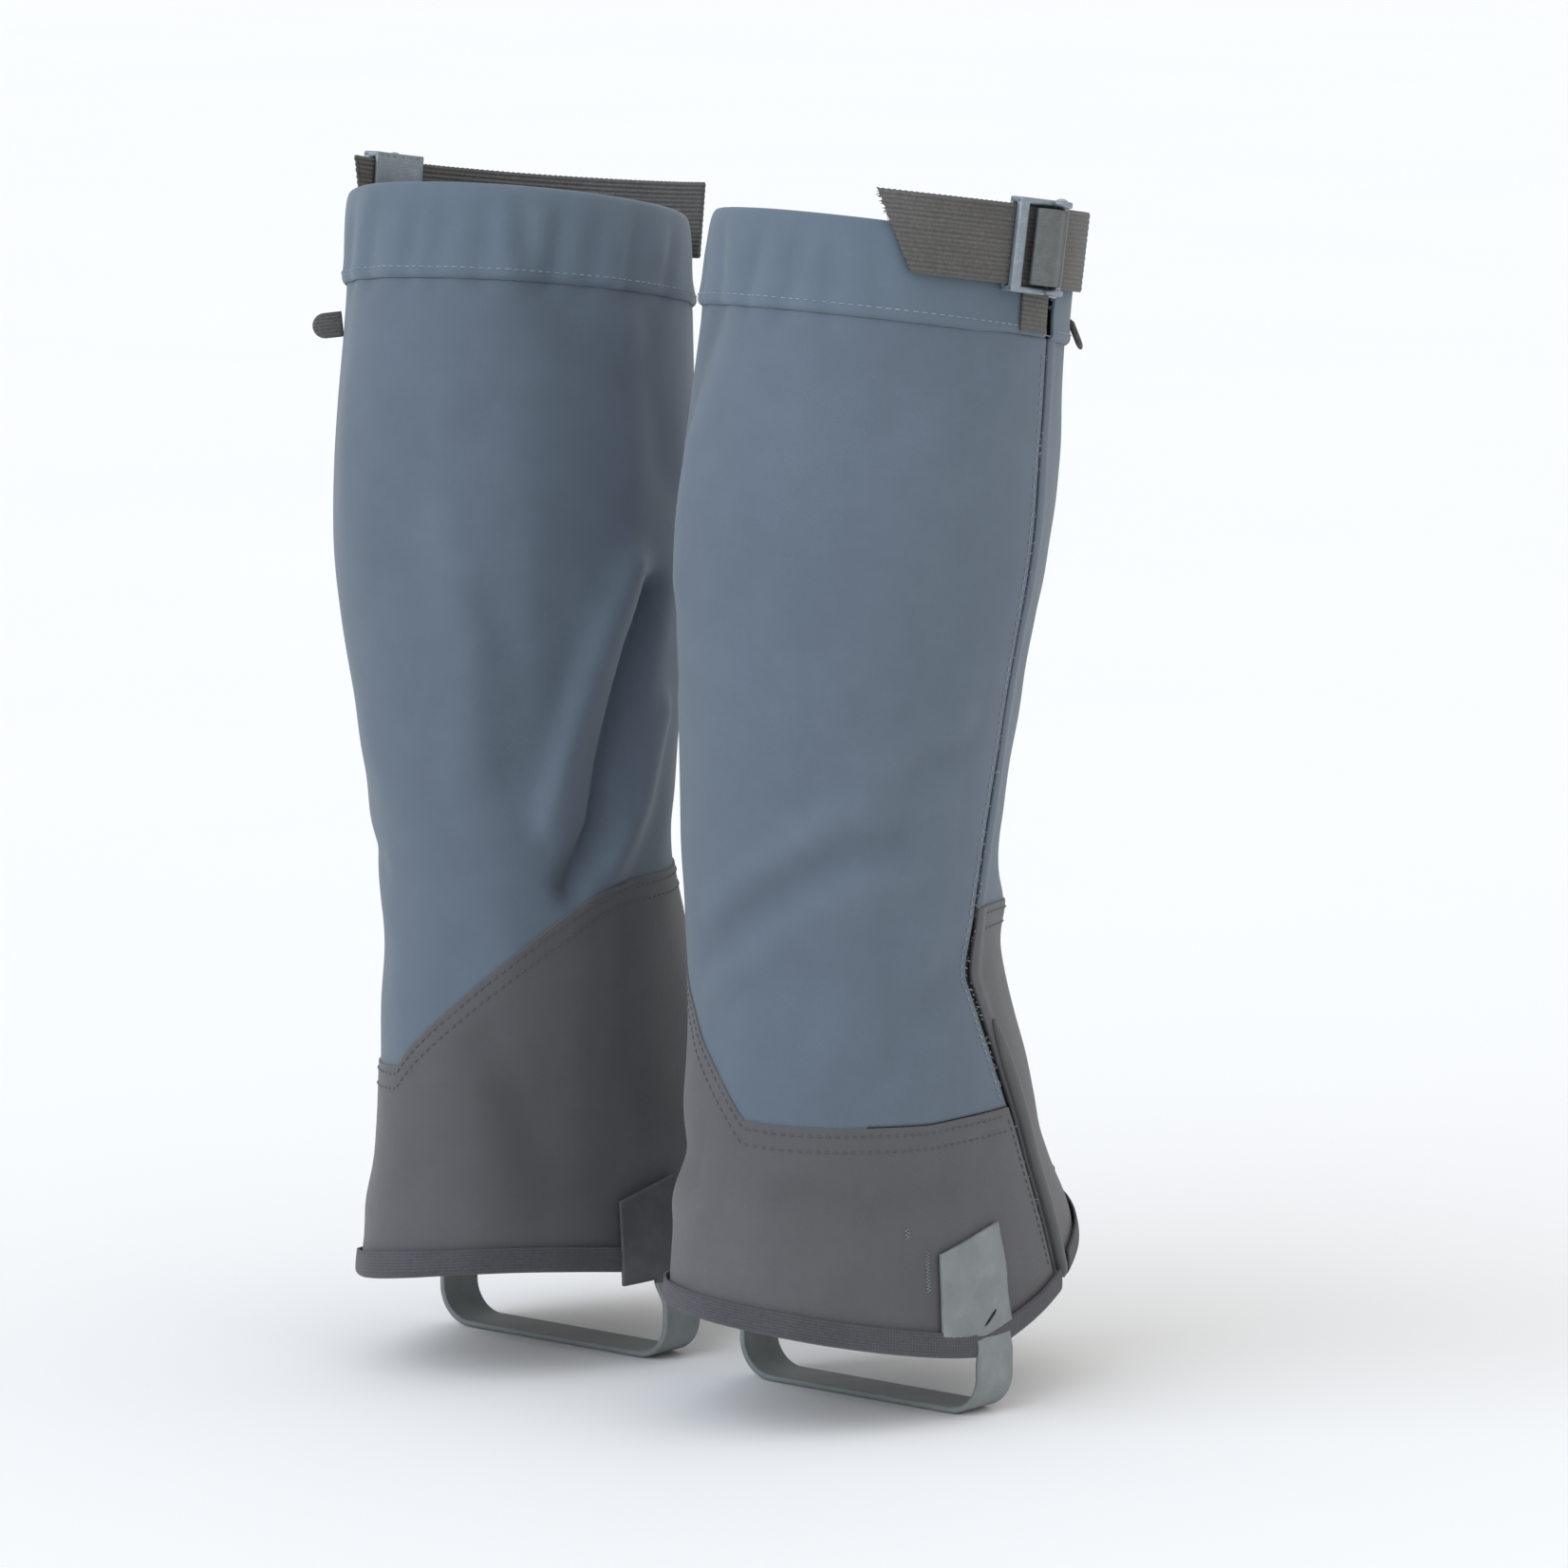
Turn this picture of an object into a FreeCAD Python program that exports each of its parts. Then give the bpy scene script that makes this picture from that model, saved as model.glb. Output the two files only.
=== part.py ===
# A pair of knee-high gaiters, in the shape they take on a leg and a boot.
#
# Millimetres. +Z is up, the wearer faces -Y and the wearer's right is -X.
# The origin is the middle of the right instep strap's upper face, where the
# arch of the right boot bears on it.
#
# The cloth pieces are patches of one leg surface. A point of that surface has
# an angle (0 at the rear, 90 on the outer side, 180 at the front, -90 on the
# inner side) and a height up the leg. The left gaiter mirrors the right one.

import FreeCAD, Part
import Sketcher
import math
import os

V = FreeCAD.Vector
doc = FreeCAD.newDocument("Gaiters")

# ---------------------------------------------------------------- dimensions

sheet = doc.addObject("Spreadsheet::Sheet", "Dimensions")

DIMENSIONS = [
    # the pair
    ("foot_spacing", 158.0),
    ("left_foot_lead", 0.0),
    ("left_webbing_slack", 30.0),
    # how the top of the gaiter follows the shin
    ("cuff_lean_out", 14.5),
    ("cuff_tilt", 11.0),
    ("lean_start", 175.0),
    # heights of the main lines
    ("cuff_top", 450.0),
    ("cuff_seam", 415.5),
    ("guard_side", 115.0),
    ("guard_heel_climb", 8.0),
    ("guard_front", 195.0),
    ("hem_side", 29.0),
    ("hem_heel_rise", 17.0),
    ("hem_instep_rise", 32.0),
    ("hem_outer_drop", 6.0),
    # front closure: how far forward its free edge stands
    ("closure_top_height", 430.0),
    ("closure_top_forward", 8.0),
    ("closure_ankle_height", 168.0),
    ("closure_ankle_forward", -13.0),
    ("closure_hem_height", 45.0),
    ("closure_hem_forward", 46.0),
    ("closure_gap", 5.0),
    ("binding_front_stop", 14.5),
    ("upper_flap_top_width", 36.0),
    ("upper_flap_fold_run", 19.0),
    ("lower_flap_width", 28.0),
    ("fold_clearance", 1.5),
    # cloth and tape
    ("shell_cloth", 1.5),
    ("flap_cloth", 1.2),
    ("lining_cloth", 1.0),
    ("elastic_thick", 1.2),
    ("layer_gap", 0.3),
    ("sewn_gap", 0.15),
    ("tape_thick", 0.8),
    ("tape_width", 20.0),
    ("placket_front", 14.0),
    ("placket_back", 24.0),
    ("binding_height", 8.0),
    ("front_roll_width", 8.0),
    ("front_roll_thick", 4.5),
    ("front_roll_top", 150.0),
    # instep patches and strap
    ("patch_back", -28.0),
    ("patch_front_top", 3.0),
    ("patch_front_bottom", 12.0),
    ("patch_height", 42.0),
    ("patch_thick", 1.6),
    ("strap_top_height", 30.0),
    ("strap_width", 20.0),
    ("strap_thick", 2.2),
    ("strap_half_span", 60.2),
    ("strap_corner", 13.0),
    # cuff webbing and cam buckle
    ("webbing_radius", 74.8),
    ("webbing_height", 30.0),
    ("webbing_thick", 1.6),
    ("webbing_axis_inset", 5.0),
    ("webbing_rise", 18.0),
    ("webbing_tail_angle", 35.5),
    ("webbing_front_angle", 168.0),
    ("webbing_tail_cut", 16.0),
    ("buckle_angle", 88.5),
    ("buckle_sweep", 22.0),
    ("buckle_wall", 2.4),
    ("buckle_base", 1.5),
    ("buckle_depth", 8.0),
    ("buckle_fit", 0.4),
    ("buckle_bar_sweep", 3.6),
    ("cam_pin_lead", 4.2),
    ("cam_pin_radius", 1.5),
    ("cam_hub_radius", 3.2),
    ("cam_lever_length", 12.8),
    ("cam_lever_thick", 2.6),
    ("cam_lobe", 0.55),
    ("cam_lever_bow", 1.6),
    ("ear_wall", 2.4),
    # small pieces
    ("right_tab_angle", 133.0),
    ("right_tab_height", 424.0),
    ("right_tab_droop", 62.0),
    ("left_tab_angle", 52.0),
    ("left_tab_height", 400.0),
    ("left_tab_droop", 12.0),
    ("pull_tab_width", 10.0),
    ("pull_tab_length", 11.0),
    ("pull_tab_thick", 2.2),
    ("hook_wire", 2.0),
    ("hook_width", 8.0),
    ("hook_length", 20.0),
    ("hook_gap", 4.5),
    ("hook_lap", 8.0),
    ("hook_tip", 5.0),
    ("hook_tab_width", 12.0),
]

# Leg stations: height, forward centre, rear reach, front reach, half width.
STATIONS = [
    ("hem", 25.0, -5.5, 98.0, 108.0, 56.0),
    ("sole", 60.0, -5.5, 95.0, 106.0, 55.0),
    ("heel", 95.0, -8.0, 86.0, 88.0, 54.0),
    ("malleolus", 130.0, -12.0, 78.0, 78.0, 54.5),
    ("ankle", 175.0, -20.0, 64.0, 65.0, 55.5),
    ("shin", 225.0, -23.5, 66.0, 66.0, 58.0),
    ("low_calf", 300.0, -21.5, 76.0, 75.0, 64.5),
    ("calf", 350.0, -17.0, 79.0, 77.0, 67.0),
    ("cuff", 412.0, -11.0, 74.0, 73.0, 65.5),
    ("rim", 470.0, -5.5, 72.0, 71.0, 63.5),
]
STATION_SIZES = ["height", "centre", "rear", "front", "half"]

row = 1
for alias, value in DIMENSIONS:
    sheet.set("A%d" % row, str(value))
    sheet.setAlias("A%d" % row, alias)
    row += 1
for station in STATIONS:
    for size_name, value in zip(STATION_SIZES, station[1:]):
        sheet.set("A%d" % row, str(value))
        sheet.setAlias("A%d" % row, "%s_%s" % (station[0], size_name))
        row += 1
doc.recompute()


def size(alias):
    """A driving dimension, read from the sheet."""
    return float(sheet.get(alias))


# ------------------------------------------------------------ the leg surface

def leg_size(size_name, height):
    """One station size at a height, on a smooth curve through the stations."""
    knots = [(size(s[0] + "_height"), size(s[0] + "_" + size_name)) for s in STATIONS]
    last = len(knots) - 1
    height = min(max(height, knots[0][0]), knots[last][0])
    k = 0
    while k < last - 1 and knots[k + 1][0] < height:
        k += 1
    (h0, v0), (h1, v1) = knots[k], knots[k + 1]
    before = knots[max(k - 1, 0)]
    after = knots[min(k + 2, last)]
    slope0 = (v1 - before[1]) / (h1 - before[0])
    slope1 = (after[1] - v0) / (after[0] - h0)
    t = (height - h0) / (h1 - h0)
    span = h1 - h0
    return ((2 * t**3 - 3 * t**2 + 1) * v0 + (t**3 - 2 * t**2 + t) * span * slope0
            + (3 * t**2 - 2 * t**3) * v1 + (t**3 - t**2) * span * slope1)


LEG_TABLE = {}
for size_name in STATION_SIZES[1:]:
    LEG_TABLE[size_name] = [leg_size(size_name, h) for h in range(0, 500)]


def leg(size_name, height):
    """A station size at a height, from the table of whole millimetres."""
    low = min(max(int(height), 0), 498)
    part = height - low
    values = LEG_TABLE[size_name]
    return values[low] * (1 - part) + values[low + 1] * part


def lean_share(height):
    """0 at the ankle and 1 at the top of the cuff."""
    start = size("lean_start")
    return max(0.0, (height - start) / (size("cuff_top") - start))


def leg_point(angle, height, outset=0.0):
    """The surface point at an angle and a height, moved out by outset."""
    turn = math.radians(angle)
    back = math.cos(turn)
    reach = leg("rear", height) if back > 0 else leg("front", height)
    forward = -back * (reach + outset)
    side = math.sin(turn) * (leg("half", height) + outset)
    tilt = math.radians(size("cuff_tilt")) * lean_share(height)
    lean = size("cuff_lean_out") * lean_share(height)
    y = -(leg("centre", height) + forward * math.cos(tilt))
    return V(-(lean + side), y, height - forward * math.sin(tilt))


def angle_at(forward, height):
    """The outer-side angle of the point that stands this far forward."""
    ahead = forward - leg("centre", height)
    reach = leg("front", height) if ahead > 0 else leg("rear", height)
    return 90.0 + math.degrees(math.asin(max(-1.0, min(1.0, ahead / reach))))


def closure_forward(height):
    """How far forward the free edge of the closure stands."""
    top, hem = size("closure_top_height"), size("closure_hem_height")
    ankle = size("closure_ankle_height")
    if height > ankle:
        share = (height - ankle) / (top - ankle)
        rise = size("closure_top_forward") - size("closure_ankle_forward")
        return size("closure_ankle_forward") + rise * share
    share = (height - ankle) / (hem - ankle)
    run = size("closure_hem_forward") - size("closure_ankle_forward")
    return size("closure_ankle_forward") + run * share


def closure_line(shift, turns=0):
    """A border parallel to the closure, shift millimetres ahead of it."""
    return lambda height: angle_at(closure_forward(height) + shift, height) - 360.0 * turns


def upper_fold_forward(height):
    """How far forward the upper flap folds: one straight line."""
    seam, side = size("cuff_seam"), size("guard_side")
    share = (seam - height) / (seam - side)
    top = size("closure_top_forward") - size("upper_flap_top_width")
    return top - size("upper_flap_fold_run") * share


def upper_fold_line(shift):
    return lambda height: angle_at(upper_fold_forward(height) + shift, height)


def level(height):
    return lambda angle: height


def fixed(angle):
    return lambda height: angle


def hem_line(raise_by=0.0):
    """The hem: lowest at the sides, higher at the heel and over the instep."""
    def line(angle):
        back = math.cos(math.radians(angle))
        rise = size("hem_heel_rise") if back > 0 else size("hem_instep_rise")
        drop = size("hem_outer_drop") * math.sin(math.radians(angle))
        return size("hem_side") + raise_by + rise * abs(back) ** 1.2 - drop
    return line


def guard_line(raise_by=0.0):
    """The seam above the guard: low outside, climbing round the inner side."""
    def line(angle):
        heel = size("guard_heel_climb")
        over_heel = min(max((75.0 - angle) / 75.0, 0.0), 1.0)
        inside = min(max((10.0 - angle) / 110.0, 0.0), 1.0)
        climb = size("guard_front") - size("guard_side") - heel
        climbed = climb * math.sin(math.radians(90.0 * inside))
        return size("guard_side") + raise_by + heel * over_heel + climbed
    return line


# --------------------------------------------------------------- cloth solids

def patch_point(borders, across, up, outset):
    """A point of a patch between two side lines and two level lines."""
    first, second, bottom, top = borders
    height = 0.5 * (bottom(first(200.0)) + top(first(200.0)))
    for _ in range(12):
        angle = first(height) * (1 - across) + second(height) * across
        height = bottom(angle) * (1 - up) + top(angle) * up
    return leg_point(angle, height, outset)


def patch_face(borders, columns, rows, outset):
    grid = []
    for i in range(columns):
        across = i / (columns - 1.0)
        grid.append([patch_point(borders, across, j / (rows - 1.0), outset) for j in range(rows)])
    surface = Part.BSplineSurface()
    surface.interpolate(grid)
    return surface


def patch_solid(borders, columns, rows, inner, outer):
    """A closed solid between two outsets of the leg surface."""
    inside = patch_face(borders, columns, rows, inner)
    outside = patch_face(borders, columns, rows, outer)
    faces = [inside.toShape(), outside.toShape()]
    u_first, u_last, v_first, v_last = outside.bounds()
    for value in (u_first, u_last):
        faces.append(Part.makeRuledSurface(inside.uIso(value).toShape(), outside.uIso(value).toShape()))
    for value in (v_first, v_last):
        faces.append(Part.makeRuledSurface(inside.vIso(value).toShape(), outside.vIso(value).toShape()))
    shell = Part.makeShell(faces)
    shell.sewShape()
    solid = Part.makeSolid(shell)
    if solid.Volume < 0:
        solid.reverse()
    return solid


nodes = []


def keep(feature, label):
    """Give a sub-part its label and add it to the pieces written out."""
    feature.Label = "right_" + label
    nodes.append(feature)
    return feature


def cloth(label, borders, columns, rows, inner, outer):
    feature = doc.addObject("Part::Feature", label)
    feature.Shape = patch_solid(borders, columns, rows, inner, outer)
    return keep(feature, label)


gap = size("layer_gap")
sewn = size("sewn_gap")
shell_in = -size("shell_cloth")
front_edge = closure_line(size("closure_gap"), turns=1)


def make_shells():
    """Upper shell and guard, from the fold of each flap round to the front."""
    upper = (upper_fold_line(0.0), front_edge, guard_line(), level(size("cuff_seam")))
    cloth("upper_shell", upper, 65, 25, shell_in, 0.0)
    lower_fold = closure_line(-size("lower_flap_width"))
    guard = (lower_fold, front_edge, hem_line(), guard_line(-2 * gap))
    cloth("lower_guard", guard, 65, 17, shell_in, 0.0)
    stop = closure_line(size("binding_front_stop"), turns=1)
    binding = (lower_fold, stop, hem_line(), hem_line(size("binding_height")))
    cloth("hem_binding", binding, 65, 5, sewn, sewn + size("lining_cloth"))


def make_cuff():
    """The cuff is a folded channel: outer cloth, elastic and lining."""
    seam, top = size("cuff_seam"), size("cuff_top")
    ends = (closure_line(0.0), front_edge)
    cloth("cuff_outer", ends + (level(seam + gap), level(top)), 49, 7, shell_in, 0.0)
    elastic_out = shell_in - sewn
    elastic_in = elastic_out - size("elastic_thick")
    channel = (fixed(70.0), fixed(-70.0), level(seam + 6.0), level(top - 6.0))
    cloth("cuff_elastic", channel, 25, 5, elastic_in, elastic_out)
    lining_out = elastic_in - sewn
    lining = ends + (level(seam + 2.0), level(top - 2.0))
    cloth("cuff_lining", lining, 49, 7, lining_out - size("lining_cloth"), lining_out)


def make_closure():
    """Underlap with loop tape; flaps over it with hook tape."""
    low, high = hem_line(6.0), level(size("cuff_seam") - 3.0)
    placket_sides = (closure_line(size("placket_front")), closure_line(-size("placket_back")))
    placket_out = shell_in - sewn
    cloth("placket", placket_sides + (low, high), 11, 49, placket_out - size("flap_cloth"), placket_out)
    width = size("tape_width")
    loop_sides = (closure_line(3.0), closure_line(3.0 - width))
    loop_out = shell_in + size("tape_thick")
    loop_ends = (hem_line(14.0), level(size("cuff_seam") - 8.0))
    cloth("loop_tape", loop_sides + loop_ends, 7, 49, shell_in, loop_out)

    hook_in = loop_out + gap
    hook_out = hook_in + size("tape_thick")
    flap_in = hook_out + sewn
    flap_out = flap_in + size("flap_cloth")
    side = size("guard_side")
    fold = size("fold_clearance")
    free_edge = closure_line(0.0)
    hook_sides = (closure_line(-2.0), closure_line(-width))

    upper_ends = (level(side + 1.0), level(size("cuff_seam") - 1.0))
    cloth("upper_flap", (upper_fold_line(fold), free_edge) + upper_ends, 11, 41, flap_in, flap_out)
    cloth("upper_hook_tape", hook_sides + (level(side + 8.0), level(size("cuff_seam") - 10.0)),
          7, 41, hook_in, hook_out)

    lower_fold = closure_line(fold - size("lower_flap_width"))
    lower_ends = (hem_line(1.0), level(side - 1.0))
    cloth("lower_flap", (lower_fold, free_edge) + lower_ends, 9, 17, flap_in, flap_out)
    cloth("lower_hook_tape", hook_sides + (hem_line(16.0), level(side - 6.0)), 7, 17, hook_in, hook_out)

    # the guard's front edge is rolled back on itself beside the closure
    edge = size("closure_gap")
    roll_sides = (closure_line(edge + sewn), closure_line(edge + size("front_roll_width")))
    roll_ends = (hem_line(1.0), level(size("front_roll_top")))
    cloth("front_roll", roll_sides + roll_ends, 5, 25, gap, gap + size("front_roll_thick"))


def make_patches():
    """Instep patches, sewn on the guard at both sides above the strap."""
    bottom, tall = size("strap_top_height") + gap, size("patch_height")
    ends = (level(bottom), level(bottom + tall))
    base = size("lining_cloth") + 2 * sewn

    def back(height):
        return angle_at(size("patch_back"), height)

    def front(height):
        share = (height - bottom) / tall
        low, high = size("patch_front_bottom"), size("patch_front_top")
        return angle_at(low + (high - low) * share, height)

    outer_side = (back, front)
    inner_side = (lambda height: -back(height), lambda height: -front(height))
    for name, sides in (("outer_patch", outer_side), ("inner_patch", inner_side)):
        cloth(name, sides + ends, 9, 9, base, base + size("patch_thick"))


# ------------------------------------------------------------- shaped pieces

def bind(feature, **expressions):
    """Bind properties to formulas of the sheet's aliases."""
    for name, formula in expressions.items():
        text = formula
        for alias in sorted([d[0] for d in DIMENSIONS], key=len, reverse=True):
            text = text.replace("#" + alias, "Dimensions." + alias)
        feature.setExpression(name, text)


def box(name, length, width, height, corner):
    feature = doc.addObject("Part::Box", name)
    bind(feature, Length=length, Width=width, Height=height)
    feature.Placement = FreeCAD.Placement(corner, FreeCAD.Rotation())
    return feature


def cut(name, base, tool):
    feature = doc.addObject("Part::Cut", name)
    feature.Base = base
    feature.Tool = tool
    return feature


def fuse(name, shapes):
    feature = doc.addObject("Part::MultiFuse", name)
    feature.Shapes = shapes
    return feature


def make_instep_strap():
    """A U of strap: down both sides of the boot and under its arch."""
    half, thick = size("strap_half_span"), size("strap_thick")
    width = size("strap_width")
    outside = box("StrapOutside", "2 * #strap_half_span", "#strap_width",
                  "#strap_top_height + #strap_thick + 20", V(-half, -0.5 * width, -thick))
    inside = box("StrapInside", "2 * (#strap_half_span - #strap_thick)", "#strap_width + 2",
                 "#strap_top_height + 40", V(thick - half, -0.5 * width - 1.0, 0.0))
    doc.recompute()
    rounded = []
    for name, block, radius in (("StrapOutsideRound", outside, size("strap_corner") + thick),
                                ("StrapInsideRound", inside, size("strap_corner"))):
        fillet = doc.addObject("Part::Fillet", name)
        fillet.Base = block
        lowest = block.Shape.BoundBox.ZMin
        picked = []
        for number, edge in enumerate(block.Shape.Edges, 1):
            extent = edge.BoundBox
            if extent.ZMax < lowest + 0.1 and extent.XLength < 0.1:
                picked.append((number, radius, radius))
        fillet.Edges = picked
        rounded.append(fillet)
    hoop = cut("StrapHoop", rounded[0], rounded[1])
    pivot = size("strap_top_height") - 0.5 * width
    above = box("StrapAbove", "4 * #strap_half_span", "#strap_width + 4", "60",
                V(-2 * half, -0.5 * width - 2.0, pivot))
    pieces = [cut("StrapLegs", hoop, above)]
    for name, corner in (("StrapEndOuter", -half), ("StrapEndInner", half - thick)):
        end = doc.addObject("Part::Cylinder", name)
        bind(end, Radius="0.5 * #strap_width", Height="#strap_thick")
        end.Placement = FreeCAD.Placement(V(corner, 0, pivot), FreeCAD.Rotation(V(0, 1, 0), 90.0))
        pieces.append(end)
    keep(fuse("instep_strap", pieces), "instep_strap")


def leg_centre(height):
    """The middle of the leg section at a height."""
    share = lean_share(height)
    return V(-size("cuff_lean_out") * share, -leg("centre", height), height)


def cuff_frame():
    """The webbing's centre and the axis that it slides round."""
    low, high = leg_centre(size("cuff_seam")), leg_centre(size("cuff_top"))
    tilt = math.radians(size("cuff_tilt"))
    along_leg = (high - low).normalize()
    across_rim = V(0, -math.sin(tilt), math.cos(tilt))
    axis = (along_leg + across_rim).normalize()
    centre = (low + high) * 0.5 + V(size("webbing_axis_inset"), 0, 0)
    return FreeCAD.Placement(centre + axis * size("webbing_rise"), FreeCAD.Rotation(V(0, 0, 1), axis))


def sector(name, radius, height, low, start, sweep):
    """A sector of a cylinder round the cuff axis, from an outer-side angle."""
    feature = doc.addObject("Part::Cylinder", name)
    bind(feature, Radius=radius, Height=height, Angle=sweep)
    turn = FreeCAD.Rotation(V(0, 0, 1), 90.0 + start)
    local = FreeCAD.Placement(V(0, 0, low), turn)
    feature.Placement = cuff_frame().multiply(local)
    return feature


def ring_sector(name, inner, outer, height, low, start, sweep):
    disc = sector(name + "Outer", outer, height, low, start, sweep)
    core = sector(name + "Inner", inner, height + " + 4", low - 2.0, start - 5.0, sweep + " + 10")
    return cut(name, disc, core)


def make_cuff_strap():
    """Webbing round the outer side of the cuff, its tail cut at a slant."""
    height = size("webbing_height")
    band = ring_sector("WebbingBand", "#webbing_radius", "#webbing_radius + #webbing_thick",
                       "#webbing_height", -0.5 * height, size("webbing_tail_angle"),
                       "#webbing_front_angle - #webbing_tail_angle")
    slant = doc.addObject("Part::Wedge", "WebbingSlant")
    slant.Xmin, slant.Xmax, slant.X2min, slant.X2max = 0.0, size("webbing_tail_cut"), 0.0, 0.01
    slant.Ymin, slant.Ymax = -0.5 * height - 0.5, 0.5 * height + 0.5
    slant.Zmin, slant.Zmax, slant.Z2min, slant.Z2max = -12.0, 12.0, -12.0, 12.0
    turn = FreeCAD.Rotation(V(0, 0, 1), 90.0 + size("webbing_tail_angle"))
    stand = FreeCAD.Rotation(V(0, 1, 0), V(0, 0, 1), V(1, 0, 0), "YZX")
    local = FreeCAD.Placement(turn.multVec(V(size("webbing_radius"), -0.5, 0)), turn.multiply(stand))
    slant.Placement = cuff_frame().multiply(local)
    keep(cut("cuff_strap", band, slant), "cuff_strap")


def make_buckle():
    """Cam buckle: a frame round the webbing, a pin and a lever with a cam."""
    tall = size("webbing_height") + 2 * (size("buckle_wall") + size("buckle_fit"))
    start = size("buckle_angle") - 0.5 * size("buckle_sweep")
    base_in = "#webbing_radius - #buckle_fit - #buckle_base"
    block = ring_sector("BuckleBlock", base_in, "#webbing_radius + #buckle_depth - 3",
                        "#webbing_height + 2 * (#buckle_wall + #buckle_fit)", -0.5 * tall,
                        start, "#buckle_sweep")
    slot_low = -0.5 * size("webbing_height") - size("buckle_fit")
    slot = ring_sector("BuckleSlot", "#webbing_radius - #buckle_fit",
                       "#webbing_radius + #webbing_thick + #buckle_fit",
                       "#webbing_height + 2 * #buckle_fit", slot_low, start - 3.0, "#buckle_sweep + 6")
    window = ring_sector("BuckleWindow", "#webbing_radius", "#webbing_radius + 30",
                         "#webbing_height + 2 * #buckle_fit", slot_low,
                         start + size("buckle_bar_sweep"), "#buckle_sweep - 2 * #buckle_bar_sweep")
    slotted = cut("BuckleSlotted", block, slot)
    open_frame = cut("BuckleOpen", slotted, window)

    pin_radius_out = size("webbing_radius") + size("webbing_thick") + size("cam_hub_radius") + 0.9
    pin_angle = size("buckle_angle") + size("cam_pin_lead")
    turn = FreeCAD.Rotation(V(0, 0, 1), 90.0 + pin_angle)
    pin_at = turn.multVec(V(pin_radius_out, 0, 0))
    ears = doc.addObject("Part::Cylinder", "BuckleEars")
    bind(ears, Radius="#cam_pin_radius + #ear_wall",
         Height="#webbing_height + 2 * (#buckle_wall + #buckle_fit)")
    ears.Placement = cuff_frame().multiply(FreeCAD.Placement(pin_at + V(0, 0, -0.5 * tall), turn))
    ear_gap = doc.addObject("Part::Cylinder", "BuckleEarGap")
    bind(ear_gap, Radius="#cam_pin_radius + 6", Height="#webbing_height + 2 * #buckle_fit")
    ear_gap.Placement = cuff_frame().multiply(FreeCAD.Placement(pin_at + V(0, 0, slot_low), turn))
    ear_pair = cut("BuckleEarPair", ears, ear_gap)
    bore = doc.addObject("Part::Cylinder", "BuckleBore")
    bind(bore, Radius="#cam_pin_radius", Height="#webbing_height + 40")
    bore.Placement = cuff_frame().multiply(FreeCAD.Placement(pin_at + V(0, 0, -tall), turn))
    frame = cut("buckle_frame", fuse("BuckleWithEars", [open_frame, ear_pair]), bore)
    keep(frame, "buckle_frame")

    pin = doc.addObject("Part::Cylinder", "cam_pin")
    bind(pin, Radius="#cam_pin_radius", Height="#webbing_height + 2 * (#buckle_wall + #buckle_fit)")
    pin.Placement = cuff_frame().multiply(FreeCAD.Placement(pin_at + V(0, 0, -0.5 * tall), turn))
    keep(pin, "cam_pin")
    make_cam_lever(cuff_frame().multiply(FreeCAD.Placement(pin_at, turn)))


def origin_plane(body, role):
    for feature in body.Origin.OriginFeatures:
        if feature.Role == role:
            return feature
    raise ValueError(role)


def make_cam_lever(at_pin):
    """Lever: a hub with a cam lobe on the pin and a bowed plate for the thumb."""
    body = doc.addObject("PartDesign::Body", "cam_lever")
    sketch = body.newObject("Sketcher::SketchObject", "LeverProfile")
    sketch.AttachmentSupport = [(origin_plane(body, "XY_Plane"), "")]
    sketch.MapMode = "FlatFace"
    hub, length = size("cam_hub_radius"), size("cam_lever_length")
    thick, bow = size("cam_lever_thick"), size("cam_lever_bow")
    # local X points away from the leg and -Y points towards the webbing's tail
    crown = V(0, hub, 0)
    shoulder = V(hub * math.cos(0.7), hub * math.sin(0.7), 0)
    root_out = V(0.99 * hub, -0.16 * hub, 0)
    root_in = V(root_out.x - thick, -0.75 * hub, 0)
    lobe = V(-hub - size("cam_lobe"), 0, 0)
    heel_of_lobe = V(-0.75 * hub, 0.72 * hub, 0)
    under = V(-0.55 * hub, -0.85 * hub, 0)
    bow_out = V(root_out.x + bow, -0.55 * length, 0)
    bow_in = bow_out - V(thick, 0, 0)
    tip_out = V(0.125 * hub, -length, 0)
    tip_in = tip_out - V(thick, 0, 0)
    outline = [
        Part.Arc(root_out, shoulder, crown),
        Part.Arc(crown, heel_of_lobe, lobe),
        Part.LineSegment(lobe, under),
        Part.LineSegment(under, root_in),
        Part.Arc(root_in, bow_in, tip_in),
        Part.LineSegment(tip_in, tip_out),
        Part.Arc(tip_out, bow_out, root_out),
    ]
    for curve in outline:
        sketch.addGeometry(curve, False)
    pin_circle = Part.Circle(V(0, 0, 0), V(0, 0, 1), size("cam_pin_radius"))
    pin_hole = sketch.addGeometry(pin_circle, False)
    sketch.addConstraint(Sketcher.Constraint("Radius", pin_hole, size("cam_pin_radius")))
    sketch.setExpression("Constraints[0]", "Dimensions.cam_pin_radius + Dimensions.sewn_gap")
    pad = body.newObject("PartDesign::Pad", "LeverPad")
    pad.Profile = sketch
    pad.Midplane = True
    bind(pad, Length="#webbing_height - 1.2")
    body.Placement = at_pin
    keep(body, "cam_lever")


def make_buckle_loop():
    """Anchor loop: a short web that ties the buckle base to the cuff."""
    loop = ring_sector("buckle_loop", "#webbing_radius - #buckle_fit - #buckle_base - 1.6",
                       "#webbing_radius - #buckle_fit - #buckle_base - 0.05",
                       "#webbing_height - 4", 2.0 - 0.5 * size("webbing_height"),
                       size("buckle_angle") - 7.0, "14")
    keep(loop, "buckle_loop")


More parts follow.
